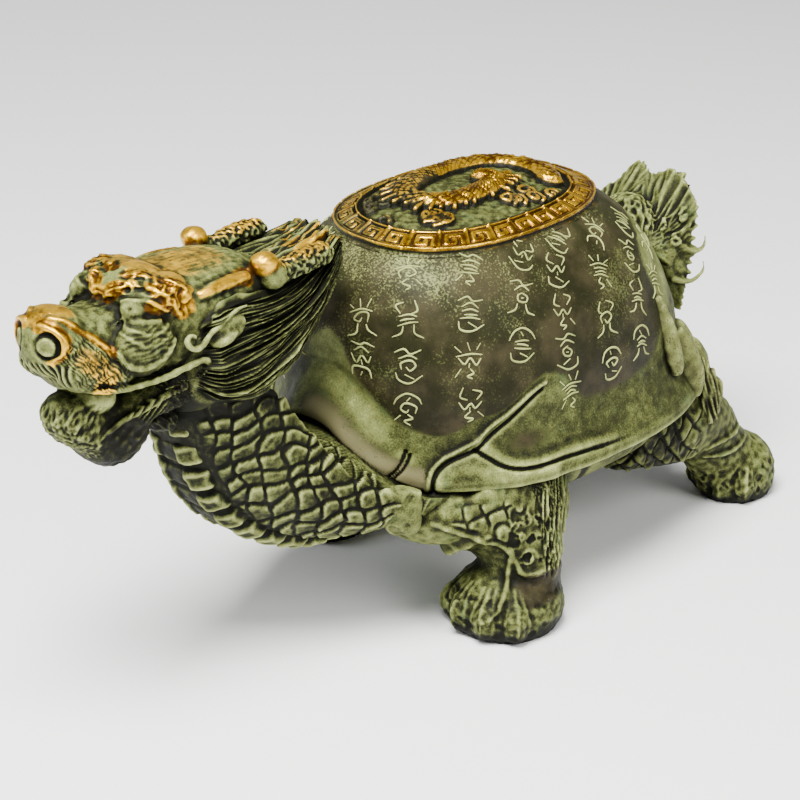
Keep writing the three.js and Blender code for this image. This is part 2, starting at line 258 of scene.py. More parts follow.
def ball(place, radii, turn=(0, 0, 0), around=20):
    """A sphere of unit size, stretched to three radii, turned in degrees and put in place."""
    rows = around // 2
    lift = np.linspace(-math.pi / 2, math.pi / 2, rows + 1)[1:-1]
    angle = np.arange(around) * 2 * math.pi / around
    flat = np.stack([np.cos(angle), np.sin(angle), np.zeros(around)], 1)
    level, rise = np.cos(lift)[:, None, None], np.sin(lift)[:, None, None]
    rings = flat[None] * level + np.array([0, 0, 1]) * rise
    points, faces = loft(rings, [0, 0, -1], [0, 0, 1])
    matrix = np.array(Euler([math.radians(t) for t in turn]).to_matrix())
    return (points * radii) @ matrix.T + place, faces

# %% [markdown]
# Carving moves the points of a finished skin in or out along their normals, by a height worked
# out from where each point lies. It is what a graver does to wax. Colours need to know where
# the carving stands proud, so every piece also carries a `relief` value: how far a point stands
# out from the smoothed surface around it.

# %% Carving
def points_of(piece):
    """The piece's points, in the figure's millimetres."""
    flat = np.empty(len(piece.data.vertices) * 3)
    piece.data.vertices.foreach_get("co", flat)
    return flat.reshape(-1, 3) / MM - SHELL_MIDDLE


def normals_of(piece):
    flat = np.empty(len(piece.data.vertices) * 3)
    piece.data.vertices.foreach_get("normal", flat)
    return flat.reshape(-1, 3)


def move_to(piece, points):
    """Puts the piece's points at places in the figure's millimetres."""
    piece.data.vertices.foreach_set("co", to_frame(points).ravel())
    piece.data.update()


def carve(piece, heights):
    """Moves each point outwards by so many millimetres."""
    move_to(piece, points_of(piece) + normals_of(piece) * heights[:, None])


def smoothed(piece, values, rounds):
    """Values at the points, averaged with their neighbours a number of times."""
    edges = np.empty(len(piece.data.edges) * 2, int)
    piece.data.edges.foreach_get("vertices", edges)
    one, other = edges.reshape(-1, 2).T
    count = len(piece.data.vertices)
    weight = np.bincount(one, minlength=count) + np.bincount(other, minlength=count)
    for _ in range(rounds):
        total = np.stack(
            [
                np.bincount(one, column[other], count) + np.bincount(other, column[one], count)
                for column in values.T
            ],
            1,
        )
        values = 0.5 * values + 0.5 * total / np.maximum(weight, 1)[:, None]
    return values


def note(piece, name, values):
    """Keeps a number for each point of the piece, or one for all, for its material to read."""
    layer = piece.data.attributes.new(name, "FLOAT", "POINT")
    values = np.broadcast_to(np.asarray(values, "f"), len(piece.data.vertices))
    layer.data.foreach_set("value", np.ascontiguousarray(values))


def note_relief(piece, rounds=14, height=0.12):
    points = points_of(piece)
    proud = ((points - smoothed(piece, points, rounds)) * normals_of(piece)).sum(1)
    note(piece, "relief", np.clip(proud / height, -1, 1))

# %% [markdown]
# Where to carve is settled by measuring: how far a point lies from a drawn line, how high it
# lies, and some smooth noise that keeps the work from looking ruled. Both sides are alike on most
# of the figure, so points are folded to the left side before they are measured.

# %% Measuring
def ramp(values, low, high):
    """0 below low, 1 above high, with a soft start and end."""
    t = np.clip((values - low) / (high - low), 0, 1)
    return t * t * (3 - 2 * t)


def fall(values, low, high):
    """1 below low, 0 above high."""
    return ramp(-values, -high, -low)


def bump(values, width):
    """1 at 0, and soon 0 on both sides."""
    return np.exp(-((values / width) ** 2))


def away(points, line):
    """Distance from each point to the nearest place of a dense line."""
    nearest = np.full(len(points), np.inf)
    for place in line:
        nearest = np.minimum(nearest, np.linalg.norm(points - place, axis=1))
    return nearest


def fold(points):
    """The points, with those of the right side mirrored to the left."""
    return np.column_stack([np.abs(points[:, 0]), points[:, 1:]])


def lumps(points, size, seed):
    """Smooth random heights about 0, with lumps of about that many millimetres."""
    places = (points / size + seed * 7.3).tolist()
    return np.array([noise.noise(Vector(place)) for place in places]) * 2

# %% [markdown]
# The camera comes early: it looks at the figure's left front from 44 degrees round and 24
# degrees up, from close by, so that the head looks large. The lens follows from that distance
# and from how many pixels of the photograph a millimetre takes up.

# %% Camera
CAMERA_TURN, CAMERA_LIFT, CAMERA_DISTANCE = math.radians(44), math.radians(24), 0.43
PIXELS_PER_MM, IMAGE_PIXELS, SENSOR = 6.55, 800, 36
target = to_frame([0, -19.5, 30])
back = np.array(
    [
        math.sin(CAMERA_TURN) * math.cos(CAMERA_LIFT),
        -math.cos(CAMERA_TURN) * math.cos(CAMERA_LIFT),
        math.sin(CAMERA_LIFT),
    ]
)
bpy.ops.object.camera_add(
    location=target + back * CAMERA_DISTANCE,
    rotation=(math.pi / 2 - CAMERA_LIFT, 0, CAMERA_TURN),
)
camera = bpy.context.object
camera.name = "camera"
camera.data.sensor_width = SENSOR
camera.data.lens = SENSOR * PIXELS_PER_MM * CAMERA_DISTANCE / MM / IMAGE_PIXELS
camera.data.clip_start = 0.01
bpy.context.scene.camera = camera
print("lens, mm:", round(camera.data.lens, 1))

# %% [markdown]
# The light is that of a small photo tent: one large soft light above, weaker ones from both
# sides, and a pale floor. Each lamp is placed by its angle round the figure and above it.

# %% Lights and floor
def soft_light(name, turn, lift, distance, size, power, tint):
    """A square lamp that faces the figure, placed by its angle round and above it."""
    turn, lift = math.radians(turn), math.radians(lift)
    away_from = np.array(
        [math.sin(turn) * math.cos(lift), -math.cos(turn) * math.cos(lift), math.sin(lift)]
    )
    bpy.ops.object.light_add(
        type="AREA", location=target + away_from * distance, rotation=(math.pi / 2 - lift, 0, turn)
    )
    lamp = bpy.context.object
    lamp.name = name
    lamp.data.size = size
    lamp.data.energy = power
    lamp.data.color = tint


soft_light("light above", 25, 66, 0.45, 0.22, 8.2, (1.0, 0.99, 0.97))
soft_light("light from the right", 95, 30, 0.5, 0.25, 1.8, (1.0, 0.98, 0.95))
soft_light("light from the left", -30, 25, 0.5, 0.25, 1.2, (0.95, 0.98, 1.0))

world = bpy.data.worlds.new("tent")
world.use_nodes = True
glow = world.node_tree.nodes["Background"].inputs
glow["Color"].default_value = (0.95, 0.97, 1.0, 1)
glow["Strength"].default_value = 0.28
bpy.context.scene.world = world

bpy.ops.mesh.primitive_plane_add(size=3, location=(0, 0, 0))
floor = bpy.context.object
floor.name = "floor"
floor.data.materials.append(bpy.data.materials.new("pale floor"))
floor.data.materials[0].use_nodes = True
floor_shader = floor.data.materials[0].node_tree.nodes["Principled BSDF"]
floor_shader.inputs["Base Color"].default_value = (0.9, 0.9, 0.9, 1)
floor_shader.inputs["Roughness"].default_value = 0.7
floor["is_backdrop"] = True

# %% [markdown]
# The finish has four layers, as the maker put them on. Dark brown metal lies under everything.
# Over it comes the sage-green wash, thick on the skin and thin on the smooth panels of the
# shell. Every recess is darker, partly from dirt and partly from painted shade, which the shader
# finds from the points' `relief` and from how much open air surrounds them. Last, the high places
# of the head and the shell's top were rubbed to golden metal. Three numbers on the points steer
# the layers: `bare` for thin patina, `gold` for rubbed metal and `pale` for the light wash that
# filled the signs. One more number paints shade where it is above 0 and light where it is below 0.

# %% Shader sums
class Wire:
    """A socket of a material, with the arithmetic that a finish needs."""

    tree = None

    def __init__(self, socket):
        self.socket = socket

    @classmethod
    def node(cls, kind, settings=None, inputs=None, output=0):
        """Adds a node: first its settings, then the values and links of its sockets."""
        made = cls.tree.nodes.new("ShaderNode" + kind)
        for name, value in (settings or {}).items():
            setattr(made, name, value)
        for name, value in (inputs or {}).items():
            if isinstance(value, Wire):
                cls.tree.links.new(value.socket, made.inputs[name])
            else:
                made.inputs[name].default_value = value
        return cls(made.outputs[output] if made.outputs else None)

    @classmethod
    def sum(cls, operation, *values):
        return cls.node("Math", {"operation": operation}, dict(enumerate(values)))

    def __add__(self, other):
        return Wire.sum("ADD", self, other)

    def __sub__(self, other):
        return Wire.sum("SUBTRACT", self, other)

    def __rsub__(self, other):
        return Wire.sum("SUBTRACT", other, self)

    def __mul__(self, other):
        return Wire.sum("MULTIPLY", self, other)

    __radd__ = __add__
    __rmul__ = __mul__

    def step(self, low, high):
        """0 below low, 1 above high, with a soft change between."""
        inputs = {"Value": self, "From Min": low, "From Max": high}
        return Wire.node("MapRange", {"interpolation_type": "SMOOTHSTEP"}, inputs)

# %% [markdown]
# Three more helpers make the nodes that the finish is mixed from: a number kept on the points,
# a noise whose spots are counted per millimetre, and a colour laid over another.

# %% Noise and blends
def attribute(name):
    return Wire.node("Attribute", {"attribute_name": name}, output=2)


def mottle(place, scale, detail=3, roughness=0.6):
    """Noise of so many spots in a millimetre."""
    inputs = {"Vector": place, "Scale": scale, "Detail": detail, "Roughness": roughness}
    return Wire.node("TexNoise", inputs=inputs)


def blend(amount, under, over):
    """Colour under, covered by colour over where amount is 1."""
    return Wire.node("Mix", {"data_type": "RGBA"}, {"Factor": amount, 6: under, 7: over}, output=2)

# %% [markdown]
# The colours were mixed beside the photograph. The open air round each place comes from two
# ambient occlusion nodes, a narrow one for the cuts and a wide one for the hollows; less open
# air makes a place darker, partly as dirt and partly as painted shade. The number of painted
# shade darkens the wash above 0, and below 0 it paints light by letting more wash stay.

# %% Colours of the casting
SAGE = (0.122, 0.139, 0.040, 1)
MOSS = (0.030, 0.034, 0.0085, 1)
VERDIGRIS = (0.050, 0.098, 0.040, 1)
PALE_WASH = (0.34, 0.37, 0.135, 1)
BROWN_METAL = (0.0090, 0.0082, 0.0032, 1)
WARM_METAL = (0.030, 0.024, 0.012, 1)
LIT_METAL = (0.17, 0.155, 0.075, 1)
GRIME_AND_SHADE = (0.0032, 0.0034, 0.0014, 1)
GOLD = (0.78, 0.45, 0.018, 1)
OLD_GOLD = (0.10, 0.040, 0.003, 1)

# %% [markdown]
# The finish is built in the maker's order. `tone` says how light a place is: higher on proud
# places, lower in hollows, where dirt and painted shade darken it, and within the lowest few
# millimetres. As the tone rises, the wash runs from grime and painted shade over moss and sage to
# the pale wash. Where it is thin the metal shows, and rubbing comes last.

# %% The patina
def patina():
    """The casting's own finish, for every piece."""
    material = bpy.data.materials.new("patina over golden metal")
    material.use_nodes = True
    Wire.tree = material.node_tree
    Wire.tree.nodes.clear()
    place = Wire.node("TexCoord", output=3)
    place = Wire.node("VectorMath", {"operation": "SCALE"}, {0: place, "Scale": 1 / MM})
    relief, bare, gold, pale, painted_shade = (
        attribute(name) for name in ("relief", "bare", "gold", "pale", "painted_shade")
    )
    near, air = (
        Wire.node("AmbientOcclusion", {"samples": 6}, {"Distance": reach * MM}, output=1)
        for reach in (1.2, 5.0)
    )
    broad, spots, grain = mottle(place, 0.10), mottle(place, 0.8), mottle(place, 4.0, 5)
    # Hollows darken: partly dirt, partly painted shade from the ambient occlusion.
    hollow_shade_and_dirt = 1.45 - near * 1.05 - air * 0.4
    tone = 0.42 + relief * 0.55 - hollow_shade_and_dirt * 0.9 + (broad - 0.5) * 0.5
    tone = tone + (spots - 0.5) * 0.45 + (grain - 0.5) * 0.75
    height = Wire.node("SeparateXYZ", inputs={"Vector": place}, output=2)
    # The tone drops within the lowest few millimetres; painted shade above 0 lowers it further, and
    # painted light below 0 raises it.
    tone = tone - 0.45 * (1 - height.step(0.3, 2.6)) - painted_shade * 0.45
    wash = blend(tone.step(0.02, 0.40), GRIME_AND_SHADE, MOSS)
    wash = blend(tone.step(0.28, 0.68), wash, SAGE)
    crust = mottle(place, 0.3).step(0.56, 0.72) * tone.step(0.2, 0.6) * 0.4
    wash = blend(crust, wash, VERDIGRIS)
    wash = blend(tone.step(0.62, 1.05) * 0.85, wash, PALE_WASH)
    metal = blend(mottle(place, 0.16).step(0.40, 0.66), BROWN_METAL, WARM_METAL)
    # Painted light: bare metal turns lighter where the painted shade number is below 0.
    metal = blend((0 - painted_shade).step(0.15, 0.55), metal, LIT_METAL)
    # Where the tone is low, the metal too goes dark with grime and painted shade.
    metal = blend(tone.step(0.0, 0.35), GRIME_AND_SHADE, metal)
    speckle = (grain - 0.5) * 1.6 + (spots - 0.5) * 0.9
    thin = (bare * 1.25 + speckle * bare.step(0.03, 0.4)).step(0.35, 0.8)
    dust = (mottle(place, 3.0, 4) + (broad - 0.5) * 0.8).step(0.56, 0.70)
    colour = blend(thin * (0.96 - dust * 0.4), wash, metal)
    colour = blend(pale, colour, PALE_WASH)

    rubbed = gold + (relief * 0.4 + (spots - 0.5) * 0.5 - hollow_shade_and_dirt * 0.5) * gold.step(0.02, 0.3)
    rubbed = rubbed.step(0.32, 0.75)
    patches = (mottle(place, 0.35) - 0.5) * 1.5
    # Rubbed gold is brighter on proud places and darker in hollows, partly from painted shade.
    bright = relief * 0.6 + spots * 0.5 + grain * 0.5 + patches - hollow_shade_and_dirt * 0.7
    shine = blend(bright.step(0.25, 1.0), OLD_GOLD, GOLD)
    colour = blend(rubbed, colour, shine)

    metallic = rubbed * 0.85 + thin * 0.15 * (1 - rubbed)
    rough = 0.60 - rubbed * 0.26 - thin * 0.16 + (grain - 0.5) * 0.25
    pitting = grain * 0.6 + spots * 0.4
    pits = Wire.node("Bump", inputs={"Height": pitting, "Strength": 0.5, "Distance": 0.15 * MM})
    shader = Wire.node(
        "BsdfPrincipled",
        inputs={
            "Base Color": colour,
            "Metallic": metallic,
            "Roughness": rough,
            "Normal": pits,
            "Specular IOR Level": 0.08,
        },
    )
    Wire.node("OutputMaterial", inputs={"Surface": shader})
    return material


PATINA = patina()
print("patina:", len(PATINA.node_tree.nodes), "nodes")

# %% [markdown]
# Every piece is dressed in the same way at the end. The figure mustn't grow past the solids'
# box, so a point that does is set back to it, and the print says by how much.

# %% Dressing a piece
def triangles_of(piece):
    return sum(len(polygon.vertices) - 2 for polygon in piece.data.polygons)


def dress(piece):
    """Keeps the piece inside the solids' box and gives it its finish and body."""
    points = to_frame(points_of(piece))
    kept = np.clip(points, CAD_LOW + 0.02 * MM, CAD_HIGH - 0.02 * MM)
    piece.data.vertices.foreach_set("co", kept.ravel())
    cut_back = np.abs(kept - points).max() / MM
    piece.data.materials.clear()
    piece.data.materials.append(PATINA)
    piece.data.polygons.foreach_set("use_smooth", [True] * len(piece.data.polygons))
    piece.data.update()
    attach(piece, "root")
    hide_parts("dragon_turtle")
    print(f"{piece.name}: {triangles_of(piece)} triangles, cut back {cut_back:.2f} mm")

# %% [markdown]
# The shell is a dome over a squarish oval plan. On the real figure the rim flares out in a
# rounded lip and rises over the neck. A sphere can't be stretched to that shape, so the shell is
# laid out as rings: each ring has a share of the plan, a flare and a height.

# %% The shell's form
RIM_THICKNESS, RIM_FLARE, CROWN_LEAN, NECK_ARCH, ARCH_SPREAD = 2.6, 2.2, 5.6, 10, 0.28
DOME_HALF_WIDTH, DOME_HALF_LENGTH = HALF_WIDTH - RIM_FLARE, HALF_LENGTH - RIM_FLARE
PLAN_POWER, PROFILE_POWER, END_FULLNESS = 2.4, 2.7, 0.8


def dome_height(share):
    return DOME_RISE * np.maximum(1 - np.asarray(share) ** PROFILE_POWER, 0) ** (1 / PROFILE_POWER)


def shell_point(angle, ring):
    """Points at angles round the shell, on a ring of share, flare, height and arch."""
    share, flare, height, arch = ring
    lean = CROWN_LEAN * max(0, height / DOME_RISE)
    turn = np.arctan2(np.cos(angle), -np.sin(angle))
    across = DOME_HALF_WIDTH * share + flare
    along = DOME_HALF_LENGTH * share**END_FULLNESS + flare
    return np.stack(
        [
            signed_power(np.cos(angle), 2 / PLAN_POWER) * across,
            signed_power(np.sin(angle), 2 / PLAN_POWER) * along - lean,
            RIM_HEIGHT + height + arch * NECK_ARCH * np.exp(-((turn / ARCH_SPREAD) ** 2)),
        ],
        -1,
    )

# %% [markdown]
# Six rings shape the rim, from its underside over the rounded lip, and seven more climb the
# dome to the medallion. A smooth line runs through them, so a row can lie between two rings.

# %% The shell's rings
RIM_RINGS = [
    (0.92, 0, -0.2 * RIM_THICKNESS, 1),
    (1, 0.8 * RIM_FLARE, 0, 1),
    (1, RIM_FLARE, 0.5 * RIM_THICKNESS, 1),
    (1, 0.75 * RIM_FLARE, 1.1 * RIM_THICKNESS, 1),
    (0.992, 0.38 * RIM_FLARE, 2.0 * RIM_THICKNESS, 1),
    (0.982, 0.05 * RIM_FLARE, 3.4 * RIM_THICKNESS, 0.8),
]
DOME_STEPS = [(0.97, 0.4), (0.92, 0.2), (0.84, 0), (0.75, 0), (0.66, 0), (0.57, 0), (0.48, 0)]
DOME_RINGS = [(share, 0, float(dome_height(share)), arch) for share, arch in DOME_STEPS]
RINGS = np.array(RIM_RINGS + DOME_RINGS)
TOP_RING = 11.0
FINE_RINGS = through(RINGS, (len(RINGS) - 1) * 40 + 1)
FINE_ROWS = np.linspace(0, len(RINGS) - 1, len(FINE_RINGS))
print("rings of the shell:", len(RINGS))


def ring_at(row):
    """The ring at a row that counts through RINGS, also between two of them."""
    return np.array([np.interp(row, FINE_ROWS, column) for column in FINE_RINGS.T])


def front_drop(turn, row):
    """How the rim's front reaches forwards and down over the neck, for angles in degrees."""
    weight = fall(turn, -82, -64) * fall(row, 1.8, 5.6)
    return weight[..., None] * [0, -2.6, -1.0]

# %% [markdown]
# Lines on the shell are drawn through angles and rows, as a carver marks them with a compass.
# The grid's points are spread evenly, so that no part of the carving is coarser than another.

# %% Lines and grids on the shell
def on_shell(knots, count):
    """A line on the left side of the shell through knots of angle in degrees and row."""
    line = through(knots, count)
    places = [shell_point(np.array(math.radians(turn)), ring_at(row)) for turn, row in line]
    return np.array(places) + front_drop(*line.T)


def run_along(line):
    """How far each knot of a line lies from its start, along the line."""
    return np.concatenate([[0], np.cumsum(np.linalg.norm(np.diff(line, axis=0), axis=1))])


def even_steps(line, count):
    """Where to cut a dense line so that the cuts are equally far apart, as shares of its knots."""
    run = run_along(line)
    return np.interp(np.linspace(0, run[-1], count), run, np.linspace(0, 1, len(line)))


def shell_grid(columns, bands):
    """Angles, rows and points of a grid; each band of it runs from a row to a row in even steps."""
    turns = np.linspace(0, 2 * math.pi, 2001)
    angles = even_steps(shell_point(turns, ring_at(3.0)), columns + 1)[:-1] * 2 * math.pi
    levels = []
    for low, high, count in bands:
        heights = np.linspace(low, high, 301)
        side = np.array([shell_point(np.array(0.3), ring_at(row)) for row in heights])
        levels.append(low + even_steps(side, count)[:-1] * (high - low))
    levels = np.append(np.concatenate(levels), TOP_RING)
    folded = np.degrees(np.arctan2(np.sin(angles), np.abs(np.cos(angles))))
    rings = [shell_point(angles, ring_at(row)) + front_drop(folded, row) for row in levels]
    return angles, levels, np.array(rings)

# %% [markdown]
# The carving on the shell follows the plates of a tortoise: smooth cushions, parted by thin
# cuts. A double cut parts the front rim from the side, a fine ridge climbs from there and sweeps
# back, a leaf-shaped cushion lies below it, and the rear plate laps over the rim with a rounded
# lip. The two sides are alike, so each line is drawn once on the left, through angles and rows,
# and every point is folded to the left to be measured.

# %% The shell's carving
CUT_DEPTH, CUT_HALF, PARTING_DEPTH, PARTING_HALF = 0.70, 0.24, 0.6, 0.22
angles, levels, grid = shell_grid(700, [(0, 6.4, 84), (6.4, TOP_RING, 20)])
folded = fold(grid.reshape(-1, 3))
row_of = np.repeat(levels, len(angles))
turn_of = np.tile(np.degrees(np.arctan2(np.sin(angles), np.abs(np.cos(angles)))), len(levels))

PARTING = [(-64.2, 4.0), (-65.2, 3.45), (-66.5, 2.75), (-68.2, 1.8), (-69.6, 1.1)]
SECOND_PARTING = [(-62.9, 3.9), (-63.9, 3.35), (-65.3, 2.65), (-66.9, 1.85), (-68.2, 1.1)]
RIDGE = [
    (-57.8, 1.2), (-57.4, 1.8), (-56.7, 2.6), (-55.4, 3.35), (-52.3, 3.95), (-48.5, 4.25),
    (-44.5, 4.5), (-41.3, 4.7), (-38.8, 4.93), (-35.2, 5.2), (-30.7, 5.42), (-26.2, 5.67),
    (-21.7, 5.9), (-17.2, 6.05),
]
RIDGE_CUT = [
    (-55.9, 1.1), (-55.4, 2.45), (-53.9, 3.25), (-51.0, 3.75), (-47.3, 4.03), (-42.4, 4.27),
    (-40.3, 4.45), (-38.0, 4.7), (-34.6, 4.97), (-29.8, 5.25), (-25.8, 5.5), (-21.6, 5.75),
    (-18.6, 5.9),
]
PLATE_CUT = [
    (-42.0, 4.33), (-40.7, 4.22), (-39.7, 4.08), (-37.2, 3.78), (-34.3, 3.35), (-30.5, 3.0),
    (-26.5, 2.85), (-23.0, 2.83), (-19.5, 2.9), (-15.0, 2.95), (-9.0, 2.9), (-2.0, 2.7), (5.0, 2.5),
]
LEAF = [(-53.5, 2.3), (-49.5, 3.1), (-44, 3.35), (-38.5, 3.0), (-33, 2.45), (-27, 2.2), (-20, 2.2)]
parting = away(folded, on_shell(PARTING, 50))
second_parting = away(folded, on_shell(SECOND_PARTING, 50))
ridge = away(folded, on_shell(RIDGE, 150))
ridge_cut = away(folded, on_shell(RIDGE_CUT, 150))
plate_cut = away(folded, on_shell(PLATE_CUT, 170))
plate_lip = away(folded, on_shell([(turn + 0.8, row + 0.42) for turn, row in PLATE_CUT], 120))
leaf = away(folded, on_shell(LEAF, 60))
cut_ends = fall(turn_of, -8, 3)
heights = (
    -PARTING_DEPTH * bump(parting, PARTING_HALF)
    - PARTING_DEPTH * bump(second_parting, PARTING_HALF)
    - 0.2 * bump(np.minimum(parting, second_parting), 1.0)
    + 0.42 * bump(ridge, 0.26)
    + 0.10 * bump(ridge, 1.0)
    - CUT_DEPTH * bump(ridge_cut, CUT_HALF)
    - CUT_DEPTH * bump(plate_cut, CUT_HALF) * cut_ends
    + 0.35 * bump(plate_lip, 0.9) * cut_ends
    + 0.55 * bump(leaf, 1.5)
    + 0.05 * lumps(folded, 3.0, 2)
)
print("shell carved from", round(heights.min(), 2), "to", round(heights.max(), 2), "mm")

# %% [markdown]
# The grid and its carving become one closed piece. Its finish follows the plates too: the smooth
# panel that holds the signs has the thinnest patina, with a soft edge towards the rim. A band at
# the front of the rim on the left side is worn to dull metal. Painted light and shade follow: the
# band and the strip above it are painted lighter on the left side, and the right front and the
# rim behind the front are painted darker.

# %% The shell as a piece
points, faces = loft(grid, [0, 0, RIM_HEIGHT / 2], [0, -CROWN_LEAN, RIM_HEIGHT + DOME_RISE - 4])
carapace = mesh_piece("carapace", points, faces)
carve(carapace, np.append(heights, [0, 0]))
note_relief(carapace, 10, 0.12)
PANEL = [
    (-90, 6.6), (-87, 6.2), (-84, 5.2), (-80, 4.75), (-62, 4.75), (-54, 4.75), (-47, 4.95),
    (-40, 5.3), (-32, 5.45), (-21, 6.0), (-14, 6.0), (-9, 5.2), (-5, 4.9), (6, 4.9), (20, 5.3),
    (32, 6.4), (40, 8.0), (90, 9.5),
]
panel_row = np.interp(turn_of, *np.array(PANEL).T)
panel_fade = np.interp(turn_of, [-70, -52, -24, -8], [3.6, 1.4, 1.2, 3.6])
panel = ramp(away(folded, on_shell(PANEL, 260)) / panel_fade, 0, 1) * (row_of > panel_row)
panel -= 0.45 * bump(turn_of - 22, 13) * bump(row_of - 8.3, 1.0)
panel -= 0.4 * fall(turn_of, -84, -68) * ramp(row_of, 7.0, 9.5)
mottled = 0.6 * bump(turn_of + 25, 9) * bump(row_of - 4.4, 0.55)
on_left = ramp(grid[..., 0].ravel(), -6, 0)
band = 0.72 * ramp(row_of, 0.6, 1.2) * fall(row_of, 2.8, 4.3) * fall(turn_of, -57.9, -57.0) * on_left
note(carapace, "bare", np.append(np.maximum(panel, np.maximum(mottled, band)), [0, 0]))
top_rub = ramp(row_of, 10.3, 11.0) * 0.3 * ramp(turn_of, -80, -60)
note(carapace, "gold", np.append(top_rub, [0, 0]))
# Painted light and shade: lighter on the left front strip and band, darker at the right front and on
# the rim behind the front.
light_strip = fall(turn_of, -76, -66) * ramp(row_of, 3.2, 4.2) * fall(row_of, 6.5, 8.5)
shade = 0.3 * fall(turn_of, -74, -66) * (1 - on_left)
shade += 0.14 * ramp(turn_of, -57, -54) * (row_of < 5.5)
painted_light = np.maximum(0.55 * light_strip * (1 - panel) * on_left, 0.6 * band * fall(turn_of, 78, 86))
shade -= painted_light
note(carapace, "painted_shade", np.append(shade, [0, 0]))
dress(carapace)

# %% [markdown]
# The medallion on the crown has a band of key fret, as on old vessels, and inside it a beast
# coiled among clouds. It is a grid of its own, finer than the shell's, whose heights come from
# the distance to lines drawn in plan: the nearer to a line, the higher the metal stands.

# %% The medallion's grid
MEDALLION_SIDES, BAND_EDGE = 520, 0.58
COIL_MIDDLE = np.array([0, -3.5])


def on_dome(angle, share, lift=0.0):
    return shell_point(np.asarray(angle), (share, 0, float(dome_height(share)) + lift, 0))


turns = np.linspace(0, 2 * math.pi, 2001)
angles = even_steps(on_dome(turns, 0.52), MEDALLION_SIDES + 1)[:-1] * 2 * math.pi
shares = np.concatenate(
    [np.linspace(0.605, BAND_EDGE, 4), np.linspace(0.575, 0.455, 32), np.linspace(0.45, 0.004, 70)]
)
grid = np.array([on_dome(angles, share) for share in shares])
points, faces = loft(grid, [0, -CROWN_LEAN, RIM_HEIGHT + DOME_RISE - 3], on_dome(0.0, 0.0))
medallion = mesh_piece("medallion", points, faces)
share_of = np.append(np.repeat(shares, MEDALLION_SIDES), [0.6, 0])
place = points[:, :2]
print("medallion:", len(shares), "rings of", MEDALLION_SIDES, "points")


def to_lines(place, lines):
    """Distance in plan from each place to the nearest segment of some lines."""
    nearest = np.full(len(place), np.inf)
    for line in lines:
        for start, end in zip(line[:-1], line[1:]):
            along = end - start
            t = np.clip(((place - start) @ along) / max(along @ along, 1e-9), 0, 1)
            offset = place - start - t[:, None] * along
            nearest = np.minimum(nearest, np.linalg.norm(offset, axis=1))
    return nearest

# %% [markdown]
# The key fret is the common one of hooked squares, so one hook is drawn in a unit cell and the
# band's length is cut into that many cells. Each point of the band finds its own cell, and the
# metal stands up near the drawn line.

# %% The key fret
FRET_UNITS, FRET_WIDTH, FRET_DEPTH = 26, 4.1, 2.7
FRET = np.array(
    [(0.02, 0), (0.02, 1), (0.84, 1), (0.84, 0.2), (0.28, 0.2), (0.28, 0.7), (0.58, 0.7), (0.58, 0.48)]
)
FRET_POST = np.array([(1.02, 0), (1.02, 1)])
way_round = np.tile(np.arange(MEDALLION_SIDES) / MEDALLION_SIDES, len(shares))
around = np.append(way_round, [0, 0]) * FRET_UNITS
cell = np.stack([np.mod(around, 1) * FRET_WIDTH, (share_of - 0.475) / 0.09 * FRET_DEPTH], 1)
fret = to_lines(cell, [line * [FRET_WIDTH, FRET_DEPTH] for line in (FRET, FRET_POST)])
on_band = ramp(share_of, 0.455, 0.462) * fall(share_of, 0.576, 0.583)
heights = on_band * (0.25 + 0.42 * fall(fret, 0.25, 0.5))
heights += 0.45 * (bump(share_of - 0.574, 0.006) + bump(share_of - 0.463, 0.006))
print("fret cells on the band:", FRET_UNITS)

# %% [markdown]
# The beast is a round body along a spiral, with spikes along its back, and small spiral clouds
# lie round it. Both are seeded draws in plan, not a copy of the real relief.

# %% The coiled beast and the clouds
def scale_heights(across, along):
    """Heights from 0 to 1 of lapping rhombs; whole numbers count scales across and rows along."""
    one, other = np.mod(along + across, 1), np.mod(along - across, 1)
    lap = 0.12 + 0.88 * (one + other) / 2
    edge = ramp(1 - one, 0, 0.22) * ramp(1 - other, 0, 0.22)
    return lap * edge - 0.35 * (one - other) ** 2


t = np.linspace(0, 1, 60)
coil = np.array([on_dome(math.pi * (0.3 + 2.2 * k), 0.36 - 0.28 * k)[:2] for k in t])
to_coil = to_lines(place, [coil])
inside = fall(share_of, 0.425, 0.445)
body = np.sqrt(np.clip(1 - (to_coil / 2.1) ** 2, 0, 1))
beast = 1.5 * body
draws = np.random.default_rng(5)
spikes, clouds = [], []
for k in range(4, 58, 2):
    out = unit(coil[k] - COIL_MIDDLE)
    tip = coil[k] + out * draws.uniform(2.6, 3.6) + draws.uniform(-0.6, 0.6, 2)
    spikes.append(np.array([coil[k] + out * 1.2, tip]))
for k in range(34):
    angle, reach = draws.uniform(0, 2 * math.pi), draws.uniform(0.30, 0.44)
    middle = on_dome(angle, reach)[:2]
    wind = np.linspace(0, draws.uniform(6, 9), 12)
    spiral = 0.25 + 1.25 * (1 - wind / 9)
    round_it = np.stack([np.cos(wind + angle), np.sin(wind + angle)], 1)
    clouds.append(middle + round_it * spiral[:, None])
to_spikes, to_clouds = to_lines(place, spikes), to_lines(place, clouds)
beast = np.maximum(beast, 1.1 * fall(to_spikes, 0.1, 0.62))
beast = np.maximum(beast, 0.65 * fall(to_clouds, 0.15, 0.55))
scales = scale_heights(np.arctan2(*(place - COIL_MIDDLE).T) * 7, to_coil * 0.9)
beast += 0.3 * scales * body
beast += 0.12 * lumps(points, 1.1, 9)
heights += inside * beast
carve(medallion, heights)
note_relief(medallion, 6, 0.12)
side_of = np.degrees(np.arctan2(points[:, 1] + CROWN_LEAN, points[:, 0]))
rubbed = 0.35 + 0.65 * ramp(side_of, -92, -66)
gold = np.clip(0.15 + 0.8 * on_band + inside * np.clip(beast - 0.35, 0, 0.95), 0, 1)
note(medallion, "gold", gold * rubbed * fall(share_of, 0.575, 0.6))
